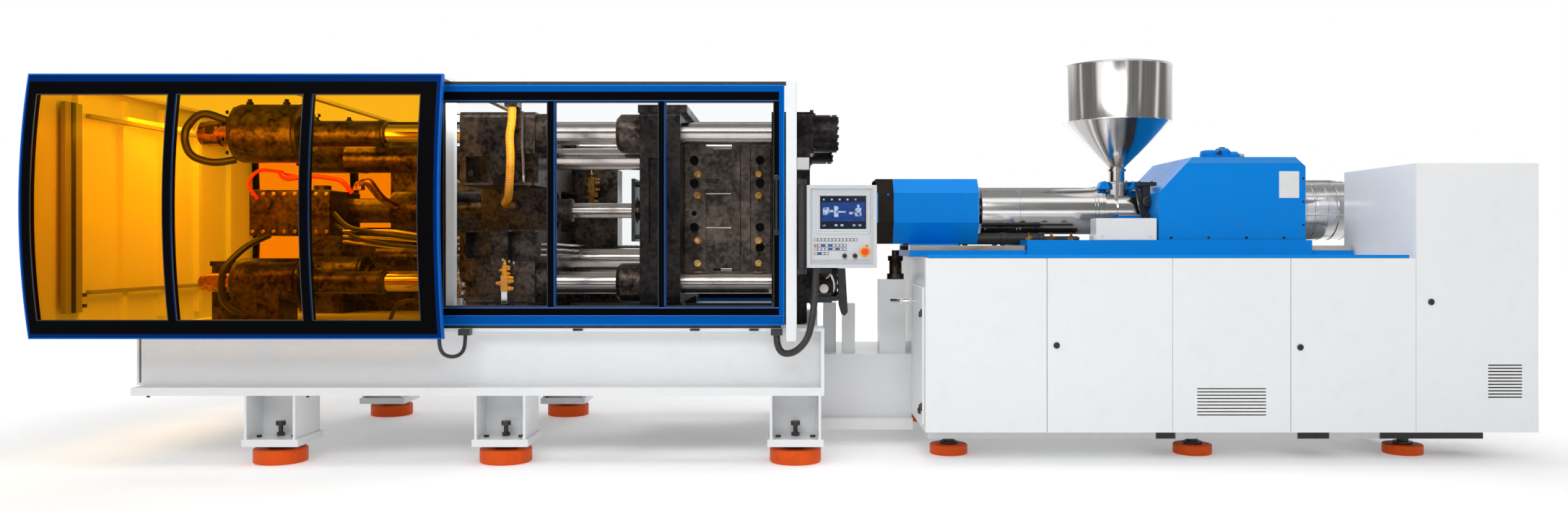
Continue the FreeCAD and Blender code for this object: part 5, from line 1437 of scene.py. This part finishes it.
# %% Barrel cover rings
barrel_low, barrel_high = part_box("barrel_cover")
bench = Bench()
cover_radius = (barrel_high[2] - barrel_low[2]) / 2
axis_z = (barrel_high[2] + barrel_low[2]) / 2
ring(bench, 2.150, 0, axis_z, cover_radius - 0.002, cover_radius + 0.004, 0.062)
ring(bench, 2.168, 0, axis_z, cover_radius - 0.002, cover_radius + 0.009, 0.010)
ring(bench, 1.612, 0, axis_z, cover_radius - 0.002, cover_radius + 0.0012, 0.006)
for angle in (0.9, 0.3, -0.3, -0.9):
    for x in (2.186, 1.625, 1.600, 1.372):
        spot = (x, -(cover_radius + 0.001) * math.cos(angle),
                axis_z + (cover_radius + 0.001) * math.sin(angle))
        bench.screw(spot, (0, -math.cos(angle), math.sin(angle)), 0.005)
bench.done("barrel_cover_rings", "polished_steel", "carriage")

# %% Throat gate and brackets
bench = Bench()
bench.block((2.440, -0.250, 1.800), (2.560, -0.130, 1.826))
bench.block((2.470, -0.235, 1.640), (2.520, -0.150, 1.802))
bench.plate([(2.420, 1.800), (2.520, 1.700), (2.520, 1.520), (2.485, 1.520), (2.450, 1.640)],
            1, -0.215, -0.190)
bench.turned((2.500, -0.235, 1.690), FRONT, [(0, 0), (0, 0.040), (0.03, 0.040), (0.034, 0.034),
                                           (0.034, 0.012), (0.055, 0.012), (0.055, 0)], 24)
bench.disc((2.500, -0.235, 1.575), FRONT, 0.026, 0.022, 6)
bench.tube([(2.500, -0.27, 1.575), (2.500, -0.33, 1.540), (2.508, -0.33, 1.470),
            (2.505, -0.33, 1.420)], 0.008, 10, 0.03)
for x in (2.455, 2.545):
    bench.screw((x, -0.190, 1.826), (0, 0, 1), 0.008)
bench.done("throat_gate", "black_steel", "carriage", 0.002)
bench = Bench()
for x0, x1 in ((2.178, 2.262), (2.402, 2.480)):
    bench.plate([(x0, 1.782), (x0 + 0.028, 1.836), (x1 - 0.014, 1.836), (x1, 1.800), (x1, 1.782)],
                1, -0.132, -0.040)
bench.done("throat_brackets", "sky_blue_paint", "carriage", 0.003)
bench = Bench()
bench.block((2.080, -0.455, 1.4165), (2.496, -0.300, 1.566))
bench.block((2.068, -0.440, 1.4165), (2.082, -0.315, 1.448))
for x in (2.12, 2.45):
    bench.screw((x, -0.455, 1.445), FRONT, 0.008)
bench.done("cooling_water_box", "white_paint", "carriage", 0.004)

# %% Drive motor bands
bench = Bench()
MOTOR_RADIUS = 0.212
for x in (3.572, 3.640, 3.700, 3.790, 3.870, 3.950):
    ring(bench, x, 0, axis_z, MOTOR_RADIUS - 0.004, MOTOR_RADIUS + 0.003, 0.014)
for i in (0, 1, 2, 3, 4, 5, 9):
    angle = math.pi * (i + 0.25) / 5
    spot = (3.575, MOTOR_RADIUS * math.cos(angle), axis_z + MOTOR_RADIUS * math.sin(angle))
    bench.rod(spot, (3.96, spot[1], spot[2]), 0.009, 12)
bench.done("drive_motor_bands", "polished_steel", "screw_drive")
bench = Bench()
bench.plate([(3.600, 1.836), (3.620, 1.851), (3.890, 1.851), (3.940, 1.838), (3.940, 1.800),
             (3.900, 1.830), (3.620, 1.830)], 1, -0.030, 0.030)
bench.done("drive_motor_plates", "grey_paint", "screw_drive", 0.003)
bench = Bench()
CARRIAGE_TRAVEL, LATCH_GAP = 0.3, 0.004
latch_end = min(3.600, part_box("tall_cabinet")[0][0] - CARRIAGE_TRAVEL - LATCH_GAP)
bench.block((3.516, -0.300, 1.858), (latch_end - 0.012, -0.220, 1.904))
bench.block((3.516, -0.290, 1.846), (latch_end, -0.230, 1.860))
bench.done("cover_end_latch", "black_steel", "carriage", 0.002)

# %% [markdown]
# ## Nozzle end
# Between the fixed platen and the purge guard the barrel's front end shows: heater bands
# with their terminal boxes, and short leads. They ride on the carriage.

# %% Heater bands
bench = Bench()
BAND_RADIUS = 0.098
for x in (0.47, 0.60, 0.73, 0.86):
    ring(bench, x, 0, AXIS_HEIGHT, BAND_RADIUS - 0.006, BAND_RADIUS + 0.007, 0.095)
    bench.block((x + 0.020, -BAND_RADIUS - 0.045, AXIS_HEIGHT - 0.016),
                (x + 0.075, -BAND_RADIUS - 0.005, AXIS_HEIGHT + 0.016))
for z in (-0.045, 0.0, 0.045):
    bench.tube([(0.545, -0.140, AXIS_HEIGHT + z * 0.4), (0.500, -0.150, AXIS_HEIGHT + z),
                (0.440, -0.140, AXIS_HEIGHT + z), (0.410, -0.080, AXIS_HEIGHT + z * 1.2)],
               0.007, 8, 0.03)
bench.done("heater_bands", "bronze", "carriage", 0.0015)
bench = Bench()
ring(bench, 0.415, 0, AXIS_HEIGHT, 0.055, BAND_RADIUS, 0.030)
for sign in (-1, 1):
    bench.disc((0.43, sign * 0.075, AXIS_HEIGHT - 0.085), TOWARDS_RIGHT, 0.018, 0.30, 20)
bench.done("barrel_head", "dark_steel", "carriage", 0.002)

# %% Purge guard folds
purge_low, purge_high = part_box("purge_guard")
# Lighter blue strips at both ends of the guard: painted highlight on its folded edges.
bench = Bench()
for x in (purge_low[0], purge_high[0] - 0.010):
    bench.block((x, -0.3025, 1.539), (x + 0.010, -0.2995, 1.747))
for x in (0.66, 0.90, 1.22):
    bench.screw((x, -0.300, 1.735), FRONT, 0.005)
bench.done("purge_guard_folds", "cover_fold_highlight", "nozzle_guard", 0.0008)
print("injection side dressed")

# %% [markdown]
# ## Cabinet hardware
# The cabinets are plain white sheet, so the few things on them matter: round locks, the
# service panel with its latches on the left end, and the blue strip and bright slide plate
# along the top. The clamp's feet get their bolt heads and the fixed platen its fittings.

# %% Locks
def lock(bench, x, z):
    bench.turned((x, -1.2, z), FRONT, [(0, 0), (0, 0.0185), (0.002, 0.020), (0.005, 0.020),
                                      (0.007, 0.017), (0.007, 0.008), (0.004, 0.008),
                                      (0.004, 0)], 40)
    bench.block((x - 0.006, -1.2075, z - 0.002), (x + 0.006, -1.2045, z + 0.002))


LOCKS = (("left_door", 1.638, 0.755), ("right_door", 3.158, 0.743), ("tall_door", 3.974, 1.026))
for body, x, z in LOCKS:
    bench = Bench()
    lock(bench, x, z)
    bench.done(body + "_lock", "knob_black", body)

# %% Service panel on the left end
CABINET_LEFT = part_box("low_cabinet")[0][0]
bench = Bench()
bench.plate([(-1.155, 0.255), (-0.52, 0.255), (-0.52, 1.115), (-1.155, 1.115)], 0,
            CABINET_LEFT, CABINET_LEFT - 0.016)
bench.done("service_panel", "white_paint", "root", 0.004)
bench = Bench()
for z in (0.36, 0.95):
    bench.block((CABINET_LEFT - 0.026, -1.150, z - 0.020),
                (CABINET_LEFT - 0.014, -1.125, z + 0.028))
    bench.turned((CABINET_LEFT - 0.016, -1.05, z - 0.01), TOWARDS_LEFT,
                 [(0, 0), (0, 0.020), (0.010, 0.018), (0.010, 0)], 24)
bench.turned((CABINET_LEFT - 0.016, -1.06, 0.33), TOWARDS_LEFT,
             [(0, 0), (0, 0.024), (0.006, 0.024), (0.018, 0.016), (0.018, 0)], 28)
bench.done("service_latches", "knob_black", "root", 0.001)
bench = Bench()
bench.tube([(CABINET_LEFT - 0.004, -0.62, 1.005), (CABINET_LEFT - 0.10, -0.62, 1.005),
            (CABINET_LEFT - 0.16, -0.56, 1.005)], 0.012, 14, 0.03)
for x in (0.03, 0.09):
    bench.disc((CABINET_LEFT - x, -0.62, 1.005), TOWARDS_LEFT, 0.021, 0.016, 6)
bench.done("service_pipe", "polished_steel", "root")

# %% Slide plate and blue strip
cabinet_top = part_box("low_cabinet")[1][2]
bench = Bench()
bench.block((0.840, -1.185, cabinet_top), (1.590, -0.520, cabinet_top + 0.010))
bench.done("slide_plate", "polished_steel", "root", 0.002)
bench = Bench()
bench.block((0.835, -1.1995, cabinet_top), (3.84, -1.186, cabinet_top + 0.020))
bench.block((0.835, 1.186, cabinet_top), (3.84, 1.1995, cabinet_top + 0.020))
bench.done("cabinet_top_strips", "sky_blue_paint", "root", 0.003)

# %% Bolts on the machine feet
bench = Bench()
for x in (-3.281, -1.841, 0.009):
    for y_side in (-1, 1):
        for dx in (-0.142, 0.142):
            for y in (1.155, 0.86):
                bench.stepped((x + dx, y_side * y, 0.164), (0, 0, 1), (0.017, 0.003),
                              (0.013, 0.014), 6)
bench.done("foot_bolts", "galvanised", "root")

bench = Bench()
for x, y in ((-4.05, -1.16), (-3.05, -1.16), (-1.55, -1.16)):
    bench.screw((x, y, 0.438), (0, 0, -1), 0.010)
for x in (-3.30, -2.52, -1.35, -0.62, -0.25):
    bench.block((x - 0.030, -1.200, 0.846), (x + 0.030, -1.182, 0.858))
bench.done("gate_track_clips", "dark_steel", "root", 0.002)

# %% Fixed platen fittings
bench = Bench()
bench.plate([(0.290, 1.225), (0.345, 1.225), (0.362, 0.930), (0.340, 0.905), (0.318, 0.918),
             (0.300, 0.980)], 1, -0.640, -0.600)
bench.block((0.100, -0.690, 1.010), (0.300, -0.610, 1.040))
bench.block((0.106, -0.660, 0.995), (0.255, -0.420, 1.220))
bench.done("platen_side_bracket", "black_steel", "root", 0.004)
bench = Bench()
bench.stepped((0.20, -0.700, 1.09), FRONT, (0.026, 0.02), (0.016, 0.045), 6)
bench.rod((0.20, -0.66, 1.09), (0.20, -0.70, 1.09), 0.030, 24)
bench.tube([(0.215, -0.72, 1.16), (0.245, -0.74, 1.19), (0.270, -0.72, 1.12), (0.26, -0.66, 1.05)],
           0.009, 10)
bench.done("platen_side_fittings", "ground_steel", "root", 0.001)
bench = Bench()
bench.block((0.020, -0.760, 1.880), (0.100, -0.700, 1.960))
bench.done("platen_white_block", "white_paint", "root", 0.003)
print("cabinet hardware ready")

# %% [markdown]
# ## Mould faces
# Each half is a stack of plates. The cooling bores are dark discs a hair proud of the steel,
# painted shade for the inside of each bore, since the CAD's own bores are the ones that matter and
# these are only seen.

# %% Bores, joints and guide pins
FINISHES["bore_shade_and_joint_black"] = paint("bore_shade_and_joint_black", (0.004, 0.0035, 0.003), rough=0.6, drift=0.4,
                               coat=0.0, shine=0.05)
MOULD_FACE = 0.4205


# Each disc is painted shade: the dark inside of a bore, drawn flat on the face.
def bore_shade_discs(bench, x, heights, radius):
    for side in (-1, 1):
        for height in heights:
            bench.disc((x, side * MOULD_FACE, height), (0, side, 0), radius, 0.0025, 28)


def joint_lines(bench, places, low, high, width=0.0045):
    for side in (-1, 1):
        near, far = sorted((side * (MOULD_FACE - 0.004), side * (MOULD_FACE + 0.0015)))
        for x in places:
            bench.block((x - width / 2, near, low), (x + width / 2, far, high))


bench = Bench()
bore_shade_discs(bench, -0.690, (1.967, 1.810, 1.504), 0.031)
bore_shade_discs(bench, -0.690, (1.600,), 0.017)
joint_lines(bench, (-0.756,), 1.21, 2.05)
bench.done("moving_mould_bores", "bore_shade_and_joint_black", "platen")
bench = Bench()
bore_shade_discs(bench, -0.235, (1.967, 1.810, 1.504, 1.365), 0.031)
joint_lines(bench, (-0.372, -0.300, -0.160), 1.21, 2.05)
bench.done("fixed_mould_bores", "bore_shade_and_joint_black", "root")
bench = Bench()
for side in (-1, 1):
    for z in (1.737, 1.500):
        bench.rod((-0.612, side * 0.404, z), (-0.436, side * 0.404, z), 0.0045, 10)
    bench.block((-0.640, side * 0.402 - 0.012, 1.24), (-0.616, side * 0.402 + 0.012, 2.02))
bench.done("moving_mould_pins", "ground_steel", "platen")

# %% [markdown]
# ## Under the barrel
# The two pull-in cylinders lie between the bed and the barrel. They are dark, with bronze
# unions, and fill the gap below the bright cover.

# %% Pull-in cylinders
bench = Bench()
for y in (-0.17, 0.17):
    bench.rod((1.20, y, 1.425), (1.78, y, 1.425), 0.040, 28)
    bench.rod((1.78, y, 1.425), (2.02, y, 1.425), 0.020, 20)
    for x in (1.20, 1.47, 1.74):
        bench.rod((x, y, 1.425), (x + 0.035, y, 1.425), 0.047, 28)
bench.block((1.30, -0.11, 1.392), (2.05, 0.11, 1.440))
bench.done("pull_in_cylinders", "black_steel", "root", 0.002)
bench = Bench()
for x in (1.66, 1.82, 1.96):
    elbow_fitting(bench, (x, -0.235, 1.425), 0.55)
bench.done("pull_in_unions", "bronze", "root")

# %% [markdown]
# ## Inside the amber guard
# The end wall carries a corner post and two rails along its length. A flat black strip down the
# post is painted shade for the recess of its channel.

# %% Guard lining
LINING_X = -4.585
bench = Bench()
bench.block((LINING_X, -1.185, 0.95), (LINING_X + 0.03, -1.010, 2.28))
for z in (1.075, 2.215):
    bench.block((LINING_X, -0.93, z - 0.014), (LINING_X + 0.035, 1.20, z + 0.014))
bench.done("guard_lining", "grey_paint", "root", 0.003)
# Painted shade: a black strip on the post's face for the dark recess of its channel, and two small
# black blocks beside it.
bench = Bench()
bench.block((LINING_X + 0.002, -1.125, 0.95), (LINING_X + 0.036, -1.085, 2.28))
for z in (0.99, 1.06):
    bench.block((LINING_X + 0.001, -0.985, z - 0.012), (LINING_X + 0.020, -0.945, z + 0.012))
bench.done("guard_channel_shade", "black_steel", "root", 0.002)

# %% Painted shade in the mouth of the purge guard
purge = Finish("purge_paint")
# The first 12 cm of the guard, at its open left end, are painted near-black: painted shade for the
# dark inside of the mouth.
past_painted_shade = purge.band(length_place(purge), purge_low[0] + 0.118, purge_low[0] + 0.122)
purge_cloud = purge.noise(7.0, 4.0)
FINISHES["purge_paint"] = purge.surface(
    Base_Color=purge.blended(
        past_painted_shade, purge.blended(purge_cloud, (0.003, 0.003, 0.003), (0.030, 0.022, 0.017)),
        purge.blended(purge_cloud, (0.0, 0.205, 0.67), (0.0, 0.235, 0.74))),
    Roughness=purge.between(purge_cloud, 0.30, 0.42), Specular_IOR_Level=0.10)
dressed("purge_guard", FINISHES["purge_paint"])
print("purge guard ready")
